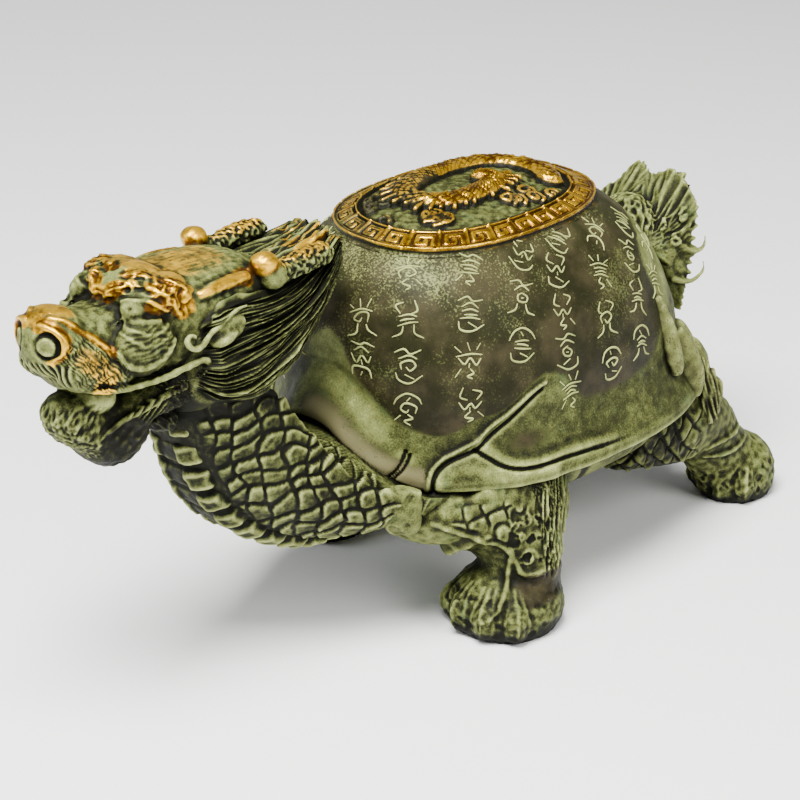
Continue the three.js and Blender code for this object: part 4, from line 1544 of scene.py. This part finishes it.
for place, radii, *turn in HEAD_BALLS:
    in_the_middle = place[0] == 0
    (clay.press if in_the_middle else clay.both)(head_ball(place, radii, *turn))
clay.both(head_bar(HORN, 20))
head_base = clay.fused("head", 0.35, 6)
print("broad forms of the head:", triangles_of(head_base), "triangles")


def head_line_bar(stations, sides=9, count=44, lift=0.1):
    """A raised line of the head, laid on its broad forms."""
    stations = np.asarray(stations, float)
    return laid(head_base, np.hstack([in_head(stations), stations[:, 3:]]), count, sides, lift)

# %% [markdown]
# Each raised line has a name and a few stations: its place and its half width. Most lie on the
# broad forms and are drawn down onto them. The lips and the hook of the ear stand free.

# %% Lines of the snout and the cheek
RAISED = {
    "nostril wing": [
        (1.2, 29.2, 6.6, 0.3), (2.6, 28.8, 6.3, 0.45), (4.0, 28.2, 5.6, 0.6), (4.9, 27.8, 4.4, 0.7),
        (4.9, 28.4, 3.0, 0.5), (4.0, 29.4, 2.0, 0.25),
    ],
    "snout arch": [
        (2.2, 28.4, 8.2, 0.3), (3.7, 26.8, 7.4, 0.36), (4.4, 25.2, 5.9, 0.32),
        (4.9, 23.2, 4.2, 0.3), (5.6, 21.4, 2.2, 0.3), (6.7, 19.8, 0.4, 0.24),
    ],
    "cheek edge": [
        (6.9, 20.6, 1.7, 0.4), (7.8, 20.0, 0.0, 0.5), (8.6, 18.0, -1.1, 0.55),
        (9.0, 15.8, -0.9, 0.55), (8.9, 13.4, 0.0, 0.5), (8.3, 11.2, 1.2, 0.4),
    ],
    "low wrinkle": [
        (5.6, 19.6, 4.2, 0.2), (7.9, 18.9, 3.0, 0.26), (8.9, 17.2, 2.0, 0.26),
        (9.1, 14.9, 1.8, 0.24), (8.6, 12.0, 2.5, 0.2),
    ],
    "mid wrinkle": [
        (5.2, 18.9, 5.2, 0.2), (7.4, 18.3, 4.3, 0.25), (8.6, 16.6, 3.4, 0.25),
        (8.8, 14.2, 3.2, 0.24), (8.4, 11.8, 4.0, 0.2),
    ],
    "high wrinkle": [
        (4.8, 18.0, 5.9, 0.2), (6.6, 17.6, 5.2, 0.24), (7.8, 16.0, 4.6, 0.24),
        (8.2, 13.6, 4.4, 0.2),
    ],
}
print("lines of the snout and the cheek:", len(RAISED))

# %% [markdown]
# The brow, the lids, the lips and the ear follow in the same way. Then all lines are pressed on.

# %% Lines of the brow, the lips and the ear
RAISED |= {
    "upper lid": [
        (3.6, 17.3, 7.0, 0.25), (5.3, 17.0, 8.0, 0.36), (6.8, 15.6, 7.7, 0.4),
        (7.6, 13.6, 6.5, 0.36), (8.2, 11.8, 4.9, 0.3),
    ],
    "lower lid": [
        (4.4, 17.7, 5.0, 0.25), (6.0, 17.4, 4.5, 0.32), (7.4, 15.6, 4.6, 0.34),
        (8.0, 13.2, 4.7, 0.3),
    ],
    "brow": [
        (1.0, 16.8, 7.0, 0.4), (2.8, 16.6, 9.0, 0.6), (4.8, 15.4, 10.2, 0.45),
        (6.6, 14.1, 9.6, 0.65), (7.7, 12.9, 8.0, 0.45), (8.2, 11.6, 6.2, 0.65),
        (8.3, 10.2, 4.8, 0.4),
    ],
    "inner brow": [
        (1.8, 13.9, 10.2, 0.4), (4.0, 13.0, 10.9, 0.6), (6.2, 11.6, 10.2, 0.5),
        (7.7, 10.2, 8.7, 0.7), (8.6, 8.8, 6.9, 0.5),
    ],
    "temple lump": [
        (8.7, 9.6, 5.8, 0.8), (9.3, 8.3, 7.3, 1.0), (9.1, 6.8, 8.0, 0.7),
    ],
    "temple ridge": [
        (9.3, 6.6, 6.8, 0.6), (9.3, 4.0, 7.3, 0.95), (8.2, 0.0, 6.9, 0.95), (7.2, -3.4, 6.2, 0.8),
    ],
    "upper lip": [
        (4.0, 26.2, -2.9, 0.2), (6.0, 23.1, -3.6, 0.4), (7.2, 20.3, -3.8, 0.45),
        (8.1, 17.4, -3.7, 0.48), (8.9, 14.4, -3.4, 0.5), (9.5, 10.4, -2.8, 0.5),
        (9.8, 7.9, -2.5, 0.5), (9.8, 6.9, -3.4, 0.5), (9.6, 7.6, -4.5, 0.42),
        (9.3, 9.6, -4.8, 0.36), (9.1, 11.6, -4.6, 0.24),
    ],
    "jaw ridge": [
        (4.2, 22.4, -11.6, 0.25), (4.9, 21.0, -10.4, 0.4), (5.7, 18.2, -9.0, 0.45),
        (6.6, 15.0, -7.8, 0.48), (7.4, 12.4, -6.9, 0.48), (8.2, 9.9, -6.2, 0.45),
        (8.3, 11.4, -5.4, 0.45), (7.9, 13.4, -5.6, 0.35),
    ],
    "ear hook": [
        (9.4, 8.9, 1.0, 0.3), (9.4, 9.8, 1.4, 0.35), (9.5, 10.6, 0.9, 0.42), (9.7, 10.3, 0.1, 0.45),
        (9.8, 9.3, -0.5, 0.45), (9.9, 8.1, -0.4, 0.45), (10.0, 7.3, 0.6, 0.42),
        (10.1, 6.3, 1.3, 0.4), (10.2, 4.8, 2.0, 0.35), (10.4, 2.6, 3.2, 0.3), (10.3, 0.2, 3.4, 0.2),
    ],
    "ear leaf": [
        (10.4, 7.0, -1.2, 0.35), (11.0, 5.9, -0.7, 0.7), (11.2, 4.6, -0.1, 0.8),
        (11.1, 3.0, 0.6, 0.4),
    ],
}
FREE_LINES = ("upper lip", "jaw ridge", "ear hook")
clay = Clay()
for name, stations in RAISED.items():
    clay.both(head_bar(stations, 10, 44) if name in FREE_LINES else head_line_bar(stations))
print("raised lines on each side of the head:", len(RAISED))

# %% [markdown]
# Small curls sit on the brow and on the chin's beard. With them the head is fused once more, at a
# finer voxel, so that every line grows out of the skin.

# %% Curls of the brow and the beard
BROW_CURLS = [(3.6, 15.2, 9.8), (5.8, 13.4, 10.0), (7.4, 11.8, 8.4), (3.0, 12.8, 10.6), (8.2, 9.6, 7.4)]
for k, place in enumerate(BROW_CURLS):
    ring = curl_line(in_head(place), (0.5, -0.3, 0.8), 1.0, 0.42, 1.2, k * 2.1)
    clay.both(laid(head_base, ring, 28, 8, 0.6))
BEARD = [
    (1.4, 27.2, -8.4), (3.2, 25.8, -8.8), (1.5, 26.6, -10.6), (3.8, 24.4, -10.6),
    (1.4, 25.0, -12.2), (4.2, 22.6, -12.2),
]
for k, place in enumerate(BEARD):
    ring = curl_line(in_head(place), (place[0] * 0.14, -0.9, -0.3), 0.95, 0.22, 1.3, k * 1.9)
    clay.both(laid(head_base, ring, 28, 7, 0.2))
head = joined_over(head_base, clay, 0.24, 3)
print("curls on each side of the head:", len(BROW_CURLS) + len(BEARD))

# %% [markdown]
# The cuts come next: round the nostril, at the pupil, between the lips and along the jaw. Each is
# a groove along a line, as deep as its first number says and as wide as its second.

# %% Cuts of the head
BROW_TOP, NOSTRIL_RING = 64.2, 1.7
NOSTRIL, NOSTRIL_AXIS = in_head((2.9, 29.4, 3.8)), unit(np.array([0.62, -0.77, 0.12]))
GAP = [(0, 29.4, -4.6), (4.0, 27.0, -4.8), (6.0, 23.4, -5.4)]
MOUTH = [(7.4, 15.4, -5.2), (8.0, 12.0, -4.6), (8.6, 9.6, -4.2)]


def head_line(places, count=60):
    """Distance of the folded points from a line of the head."""
    return away(folded, through(in_head(places), count))


def from_nostril():
    """Distance from the line that the nostril was bored along."""
    offset = folded - NOSTRIL
    aside = offset - (offset @ NOSTRIL_AXIS)[:, None] * NOSTRIL_AXIS
    return np.linalg.norm(aside, axis=1) + 9 * (ahead < 25)


def on_crown():
    return ramp(above, 6.5, 8.5) * fall(ahead, 12, 15)


def under_hinge():
    return fall(ahead, 11, 13.5) * fall(above, -4.6, -3.4)


folded, side, ahead, above = head_places(points_of(head))
hollow = from_nostril()
pupil = np.linalg.norm(folded - in_head((6.3, 17.7, 6.7)), axis=1)
gap, mouth = head_line(GAP), head_line(MOUTH)
jaw_cut = head_line([(4.2, 24.6, -9.6), (5.4, 20.4, -8.6), (6.4, 16.4, -7.4)])
heights = -0.6 * bump(hollow - NOSTRIL_RING, 0.32) * (0.3 + 0.7 * ramp(side, 1.2, 2.6))
heights -= 0.15 * bump(hollow, 1.2) + 0.2 * bump(pupil, 0.5)
heights -= 1.0 * bump(gap, 0.5) + 0.7 * bump(mouth, 0.7) + 0.4 * bump(jaw_cut, 0.6)
print("deepest cut of the head, mm:", round(-heights.min(), 2))

# %% [markdown]
# Then the skin gets its texture, region by region: combed whiskers on the pad beside the nose,
# wrinkles on the cheek, scrolls on the brow, hair under the hinge of the mouth, and rough horns.
# Combing is smooth noise that changes fast across the hairs and slowly along them.

# %% Texture of the head
strokes = np.column_stack([side * 2.2, ahead * 0.3, above * 0.3])
heights += 0.05 * lumps(strokes, 1, 3) * on_crown() * fall(ahead, 8, 11)
pad = head_line([(5.2, 26.0, 2.4), (6.4, 23.4, 0.4), (6.8, 21.4, -1.6), (5.8, 24.6, -0.6)], 30)
on_pad = fall(pad, 1.9, 2.9)
combing = (side * 0.3 - ahead * 0.75 + above * 0.6) / 0.82
whiskers = np.sin(2 * math.pi * combing * 1.7 + 3 * lumps(folded, 1.3, 9))
heights += 0.07 * on_pad * (whiskers + lumps(folded, 0.7, 6))
front = ramp(ahead, 26.6, 28.0) * fall(above, 0.6, 1.6) * ramp(above, -4.4, -3.4)
heights += 0.2 * front * np.sin(side * 7.5 + above * 0.8)
tuft = head_line([(8.2, 17.4, -7.0), (8.4, 14.6, -9.4)], 12)
on_tuft = fall(tuft, 2.2, 3.2) * fall(above, -7.0, -6.2)
heights += 0.25 * on_tuft * np.sin((ahead * 0.9 + above * 0.75) * 6.6)
wrinkles = fall(head_line([(7.6, 17.6, 2.6), (8.6, 14.0, 1.4)], 14), 1.8, 3.0)
heights += 0.04 * wrinkles * np.sin((above + 0.03 * (ahead - 15) ** 2) * 9 + 2 * lumps(folded, 2, 3))
to_brow = np.minimum(head_line(RAISED["brow"]), head_line(RAISED["inner brow"]))
winding = 0.28 * (0.3 - 1.3 * np.abs(lumps(folded, 1.5, 11))) + 0.08 * lumps(folded, 0.7, 2)
heights += fall(to_brow, 1.0, 2.0) * winding
cup = fall(above, -11.5, -9.5) * fall(ahead, 19, 22)
heights += 0.16 * cup * lumps(folded, 1.1, 8)
chin = ramp(ahead, 20.5, 22.5) * fall(above, -7.0, -6.0)
combed = np.column_stack([side * 1.4, ahead * 0.6, above * 0.8 + 0.5 * ahead])
heights += 0.12 * chin * lumps(combed, 0.55, 4)
across_hair, along_hair = ahead * 0.75 - above * 0.5, ahead * 0.5 + above * 0.75
combed = np.column_stack([across_hair * 2.4, along_hair * 0.5, side * 0.4])
heights += 0.35 * under_hinge() * (0.4 - np.abs(lumps(combed, 1, 7)) * 1.3)
horn_skin = fall(ahead, -9, -7.5) * ramp(above, 3.2, 4.2)
heights += 0.2 * horn_skin * lumps(folded, 0.55, 12) + 0.05 * lumps(folded, 1.0, 7)
carve(head, heights)
pressed = points_of(head)
over_brow = np.maximum(pressed[:, 2] - BROW_TOP, 0)
pressed[:, 2] -= 0.32 * over_brow
move_to(head, pressed)
print("head carved from", round(heights.min(), 2), "to", round(heights.max(), 2), "mm")
thin_out(head)

# %% [markdown]
# Gold is rubbed where hands touch: the crown, the brow, the nose, the knobs and the horns' tops.
# Painted shade lies between the lips, in the nostril's ring, under the jaw and the hinge of the mouth,
# low on the head and at its back; the patina is thin under the jaw. The pearl has no painted shade and
# keeps a pale skin of its own.

# %% Colours of the head
folded, side, ahead, above = head_places(points_of(head))
note_relief(head, 8, 0.12)
gold = 0.54 * on_crown() * ramp(ahead, -7, -2)
for name, reach, strength in (
    ("nostril wing", 1.6, 1.0), ("snout arch", 1.1, 0.85), ("brow", 1.9, 1.0),
    ("inner brow", 1.9, 1.0), ("temple lump", 3.4, 1.0), ("temple ridge", 2.4, 0.95),
):
    gold = np.maximum(gold, strength * fall(head_line(RAISED[name]), reach * 0.5, reach))
lid = head_line([(7.0, 14.6, 6.4), (7.8, 13.0, 5.6)], 12)
pad = head_line([(5.6, 25.2, 1.6), (6.6, 22.2, -1.0), (6.4, 22.6, -2.6)], 20)
under_jaw = fall(above, -10.2, -8.6) * fall(ahead, 20.5, 23)
inside = np.maximum(bump(head_line(GAP), 1.4), bump(head_line(MOUTH), 1.2))
snout = ramp(above, 5.6, 7.4) * ramp(ahead, 20, 24)
knob = np.linalg.norm(folded - in_head((7.2, -6.0, 7.6)), axis=1)
horn = head_line([(7, -9, 6.0), (7, -19, 9.0)], 20)
for other in (
    0.9 * fall(lid, 0.8, 1.6), 0.5 * fall(pad, 1.0, 2.8), 0.55 * snout,
    0.9 * fall(knob, 2.0, 3.0), 0.5 * fall(horn, 2.0, 3.2) * ramp(above, 5.0, 7.0),
):
    gold = np.maximum(gold, other)
hollow = from_nostril()
note(head, "gold", gold * (1 - fall(hollow, 1.7, 2.1)))
note(head, "bare", 0.4 * under_jaw)
from_pearl = np.linalg.norm((folded - in_head(PEARL)) / PEARL_RADII, axis=1)
pearl = fall(from_pearl, 1.03, 1.10)
# Painted shade in the nostril's ring, in the mouth, under the jaw and the hinge, low on the head and at
# its back; the pearl gets none.
nostril_ring = 0.3 * bump(hollow - NOSTRIL_RING, 0.4) * ramp(side, 1.2, 2.6)
shaded = np.maximum.reduce([0.75 * under_jaw, 1.1 * inside, nostril_ring, 0.8 * under_hinge()])
shaded = shaded + 0.2 * fall(above, -7, -5) + 0.35 * fall(ahead, -9, -7)
note(head, "painted_shade", shaded * (1 - pearl) - 0.75 * pearl)
dress(head)

# %% [markdown]
# The mane sweeps back from the ears and the jaw to the shell's front, where its strands run
# together. It is laid out as rings: each runs from the lower edge up over the left side, across
# the nape and down the right side, and closes inside the neck. The strands follow the way from
# ring to ring, so noise that is stretched along that way parts them unevenly, as a comb does.

# %% The mane's fan
UPPER_EDGE = [
    (9.5, -67.3, 58.6), (9.5, -64.1, 60.3), (9.3, -60.6, 60.7), (9.0, -56.9, 60.4),
    (8.5, -52.7, 60.0), (8.0, -48.5, 60.0), (7.0, -44.2, 60.6), (5.8, -40.0, 61.4),
    (4.6, -36.8, 62.4),
]
LOWER_EDGE = [
    (10.0, -68.6, 49.6), (10.4, -64.8, 47.4), (10.8, -59.6, 46.8), (10.7, -54.6, 47.9),
    (10.2, -50.6, 50.0), (9.4, -47.1, 52.2), (8.4, -44.1, 54.6), (7.2, -41.0, 57.4),
    (4.9, -37.0, 60.6),
]
ALONG, SIDE, NAPE, UNDER = 110, 130, 44, 30
upper, lower = through(UPPER_EDGE, ALONG)[:, None], through(LOWER_EDGE, ALONG)[:, None]
way = np.linspace(0, 1, ALONG)[:, None]
share = np.linspace(0, 1, SIDE)[None]
bulge = np.sin(math.pi * share)[..., None] * unit(np.array([1, -0.3, 0])) * (1.7 - 1.1 * way)[..., None]
left = lower * (1 - share[..., None]) + upper * share[..., None] + bulge
tucked = (1 - ramp(way, 0, 0.1))[..., None]
left = left - tucked * [2.2, 0, 0]
across = np.linspace(0, 1, NAPE + 2)[1:-1][None, :, None]
nape = upper * (1 - across) + upper * [-1, 1, 1] * across + np.sin(math.pi * across) * [0, 0, 1.3]
across = np.linspace(0, 1, UNDER + 2)[1:-1][None, :, None]
under = left[:, :1] * ([-1, 1, 1] * (1 - across) + across) - np.sin(math.pi * across) * [0, 0, 5]
rings = np.concatenate([left, nape, left[:, ::-1] * [-1, 1, 1], under], 1)
points, faces = loft(rings, rings[0].mean(0), rings[-1].mean(0))
mane = mesh_piece("mane", points, [face[::-1] for face in faces])
print("mane:", len(rings), "rings of", rings.shape[1], "points")

# %% [markdown]
# Three sizes of noise run along the fan: broad locks, fine strands with sharp partings, and hairs.
# One thick strand stands out near the lower edge. The crest keeps a little gold.

# %% The mane's strands
over_nape = 1 + np.linspace(0, 0.5, NAPE // 2)
strand_share = np.concatenate([share[0], over_nape, over_nape[::-1], share[0, ::-1], np.zeros(UNDER)])
strand = np.append(np.tile(strand_share, ALONG), [0, 0])
run = np.append(np.repeat(way, len(strand_share)), [0, 1])
flow = strand + 0.035 * np.sin(7 * run + 5 * strand)
right_half = np.arange(len(strand_share)) > SIDE + NAPE / 2
right_side = np.append(np.tile(right_half, ALONG), [False, False])
locks, fine, hairs = (
    lumps(np.column_stack([flow * across, run * along, 9.0 * right_side]), 1, seed)
    for across, along, seed in ((7, 2.0, 2), (24, 3.2, 5), (55, 5.0, 8))
)
heights = 0.40 * locks + 0.55 * (0.45 - np.abs(fine) * 1.4) + 0.26 * hairs
heights += 0.5 * bump(flow - 0.13 - 0.1 * run, 0.03) * ramp(run, 0.05, 0.15) * fall(run, 0.45, 0.6)
carve(mane, heights * ramp(run, 0, 0.06))
note_relief(mane, 8, 0.14)
crest = ramp(points[:, 2], 61.0, 62.5) * fall(points[:, 1], -38, -36) * ramp(fine, -0.2, 0.2)
note(mane, "gold", 0.7 * crest)
note(mane, "bare", 0.25 * ramp(strand, 0.7, 0.95))
# Painted light and shade: the thick strand is lighter, the rest darker, and darkest where the mane
# starts and where it is tucked into the neck.
lit = bump(flow - 0.13 - 0.1 * run, 0.05) * fall(run, 0.5, 0.7)
at_start = fall(run, 0.02, 0.07) + np.append(np.tile(strand_share == 0, ALONG), [1, 1])
note(mane, "painted_shade", 0.42 - 0.5 * lit + 0.7 * np.minimum(at_start, 1))
dress(mane)

# %% [markdown]
# The tail stands up behind the shell like a flame. Six fans of pointed strands rise from roots
# near one another and end along curved lines of tips, thicker cores fill the fans, and two thin
# hooks stand off on each side. All is fused, small swirls are laid on it, and the skin is combed
# by noise that hardly changes from the root to the tips. The right side sits a little lower.

# %% The tail
FANS = [
    (
        [3.4, 33.2, 43.0],
        [
            (0.4, 39.8, 52.2), (2.7, 40.3, 53.2), (4.2, 40.4, 53.7),
            (5.8, 40.3, 53.4), (7.6, 39.8, 51.9),
        ],
        11, 0.46,
    ),
    (
        [4.0, 35.2, 43.0],
        [(0.8, 40.6, 51.6), (3.4, 41.6, 53.0), (5.4, 41.8, 53.0), (7.2, 41.2, 51.4)],
        8, 0.5,
    ),
    (
        [8.0, 35.4, 43.0],
        [(8.2, 39.4, 51.5), (9.5, 39.2, 50.7), (10.4, 39.0, 48.8), (10.6, 39.0, 45.6)],
        7, 0.42,
    ),
    ([7.4, 35.4, 41.2], [(10.8, 38.4, 43.6), (11.0, 38.2, 40.6), (10.6, 37.8, 37.4)], 5, 0.6),
    (
        [7.0, 33.0, 40.4],
        [(10.0, 37.4, 34.6), (9.3, 37.9, 32.4), (8.3, 38.7, 29.6), (7.0, 37.6, 30.6)],
        7, 0.45,
    ),
    (
        [1.0, 36.0, 40.0],
        [(1.0, 43.0, 48.0), (4.0, 43.5, 44.0), (6.5, 42.5, 39.0), (4.0, 41.0, 33.0)],
        9, 0.6,
    ),
]
CORES = [
    [(0.4, 33.5, 42.0, 2.8, 2.4), (0.4, 36.8, 46.6, 2.2, 1.8), (0.5, 39.6, 50.6, 1.5, 0.8)],
    [(2.5, 33.5, 41.5, 3.4, 2.6), (3.4, 36.6, 46.4, 3.0, 1.9), (3.8, 40.2, 52.0, 2.2, 0.7)],
    [(5.0, 33.6, 42.0, 3.2, 2.4), (6.2, 36.8, 46.0, 2.4, 1.8), (6.9, 39.1, 50.2, 1.5, 0.8)],
    [(6.6, 34.0, 40.5, 3.0, 2.4), (8.2, 37.0, 44.6, 1.8, 1.6), (9.0, 39.0, 49.4, 1.2, 0.7)],
    [(5.0, 34.0, 42.0, 3.4, 2.6), (7.6, 36.6, 38.0, 2.6, 2.0), (8.0, 37.6, 32.8, 0.9, 0.6)],
]

# %% [markdown]
# A strand sways a little on its way from the root to its tip, and its tip stays just inside the
# fan's edge. The seeded draws make no two strands alike.

# %% Strands of the tail
def drop(x):
    """How much lower the right side hangs than the left: the more so, the further outwards."""
    return np.clip(0.9 * (x - 3), -0.5, 3.2)


def lowered(form):
    """The mirror image of a form, on the lower right side."""
    points, faces = form
    hung = points * [-1, 1, 1] - drop(points[:, 0])[:, None] * [0, 0, 1]
    return hung, [face[::-1] for face in faces]


def strands(root, tips, count, half, draws):
    """Pointed strands that rise from one root and end along a line of tips."""
    root, ends = np.array(root), through(tips, count)
    for end in ends:
        start = root + 0.35 * (end - ends.mean(0)) + draws.uniform(-0.15, 0.15, 3)
        end = start + (end - start) * draws.uniform(0.93, 0.99)
        sway = draws.uniform(-0.25, 0.25, 3)
        yield limb(
            [
                [*start, half],
                [*(start + (end - start) * 0.35 + sway + [0.3, -0.3, 0]), half * 1.15],
                [*(start + (end - start) * 0.75 - sway * 0.6), half * 0.95],
                [*end, 0.3],
            ],
            8,
            26,
        )

# %% [markdown]
# The clay takes the root's ball, the fans, the cores and the hooks, each with its lower mirror
# image. Swirls are laid on the fused skin, between the fans.

# %% The tail as a piece
HOOKS = [
    [
        (9.2, 35.6, 42.6, 0.7), (10.5, 37.2, 41.7, 0.55), (11.3, 38.4, 41.5, 0.42),
        (11.9, 39.1, 42.6, 0.32), (12.0, 39.0, 44.5, 0.15),
    ],
    [
        (9.0, 34.8, 37.0, 0.7), (10.3, 36.2, 36.5, 0.55), (11.2, 37.6, 36.6, 0.42),
        (11.9, 39.0, 38.0, 0.32), (12.0, 38.8, 39.9, 0.15),
    ],
]
SWIRLS = [(7.0, 34.1, 46.4, 1.3, 0.36), (9.2, 36.8, 47.3, 1.7, 0.4), (9.0, 35.1, 43.6, 1.2, 0.36)]
clay = Clay()
clay.press(ball(tail_at(0, 8, 26), (7.2, 4.8, 8.8), around=40))
draws = np.random.default_rng(31)
forms = [form for fan in FANS for form in strands(*fan, draws)]
forms += [limb(core, 16, 30) for core in CORES] + [limb(hook, 10, 30) for hook in HOOKS]
for form in forms:
    clay.press(form)
    clay.press(lowered(form))
print("forms on each side of the tail:", len(forms))
tail = clay.fused("tail", 0.24, 1)
clay = Clay()
for k, (x, y, z, radius, half) in enumerate(SWIRLS):
    swirl = curl_line((x, y, z), (0.9, 0.1, 0.2), radius, half, 1.2, k * 2.0)
    mirrored = swirl * [-1, 1, 1, 1] - [0, 0, 0.9 * (x - 3), 0]
    for line in (swirl, mirrored):
        clay.press(laid(tail, line, 28, 7, 0.9))
tail = joined_over(tail, clay, 0.25, 1)
points = points_of(tail)
folded = fold(points)
folded[:, 2] += (points[:, 0] < 0) * drop(folded[:, 0])
spokes = folded - [4.6, 31.5, 40.5]
reach = np.linalg.norm(spokes, axis=1, keepdims=True)
combed = 0.4 - 1.3 * np.abs(lumps(spokes / reach * 10 + 0.06 * reach, 1, 4))
depth = 0.28 * ramp(reach[:, 0], 3, 6) * ramp(folded[:, 2], 39, 47)
depth = depth * (1 - 0.5 * ramp(folded[:, 0], 8, 10))
carve(tail, (0.04 + depth) * combed)
thin_out(tail)
note_relief(tail, 8, 0.16)
# Painted light: the tail is painted a little lighter.
note(tail, "painted_shade", -0.1)
dress(tail)
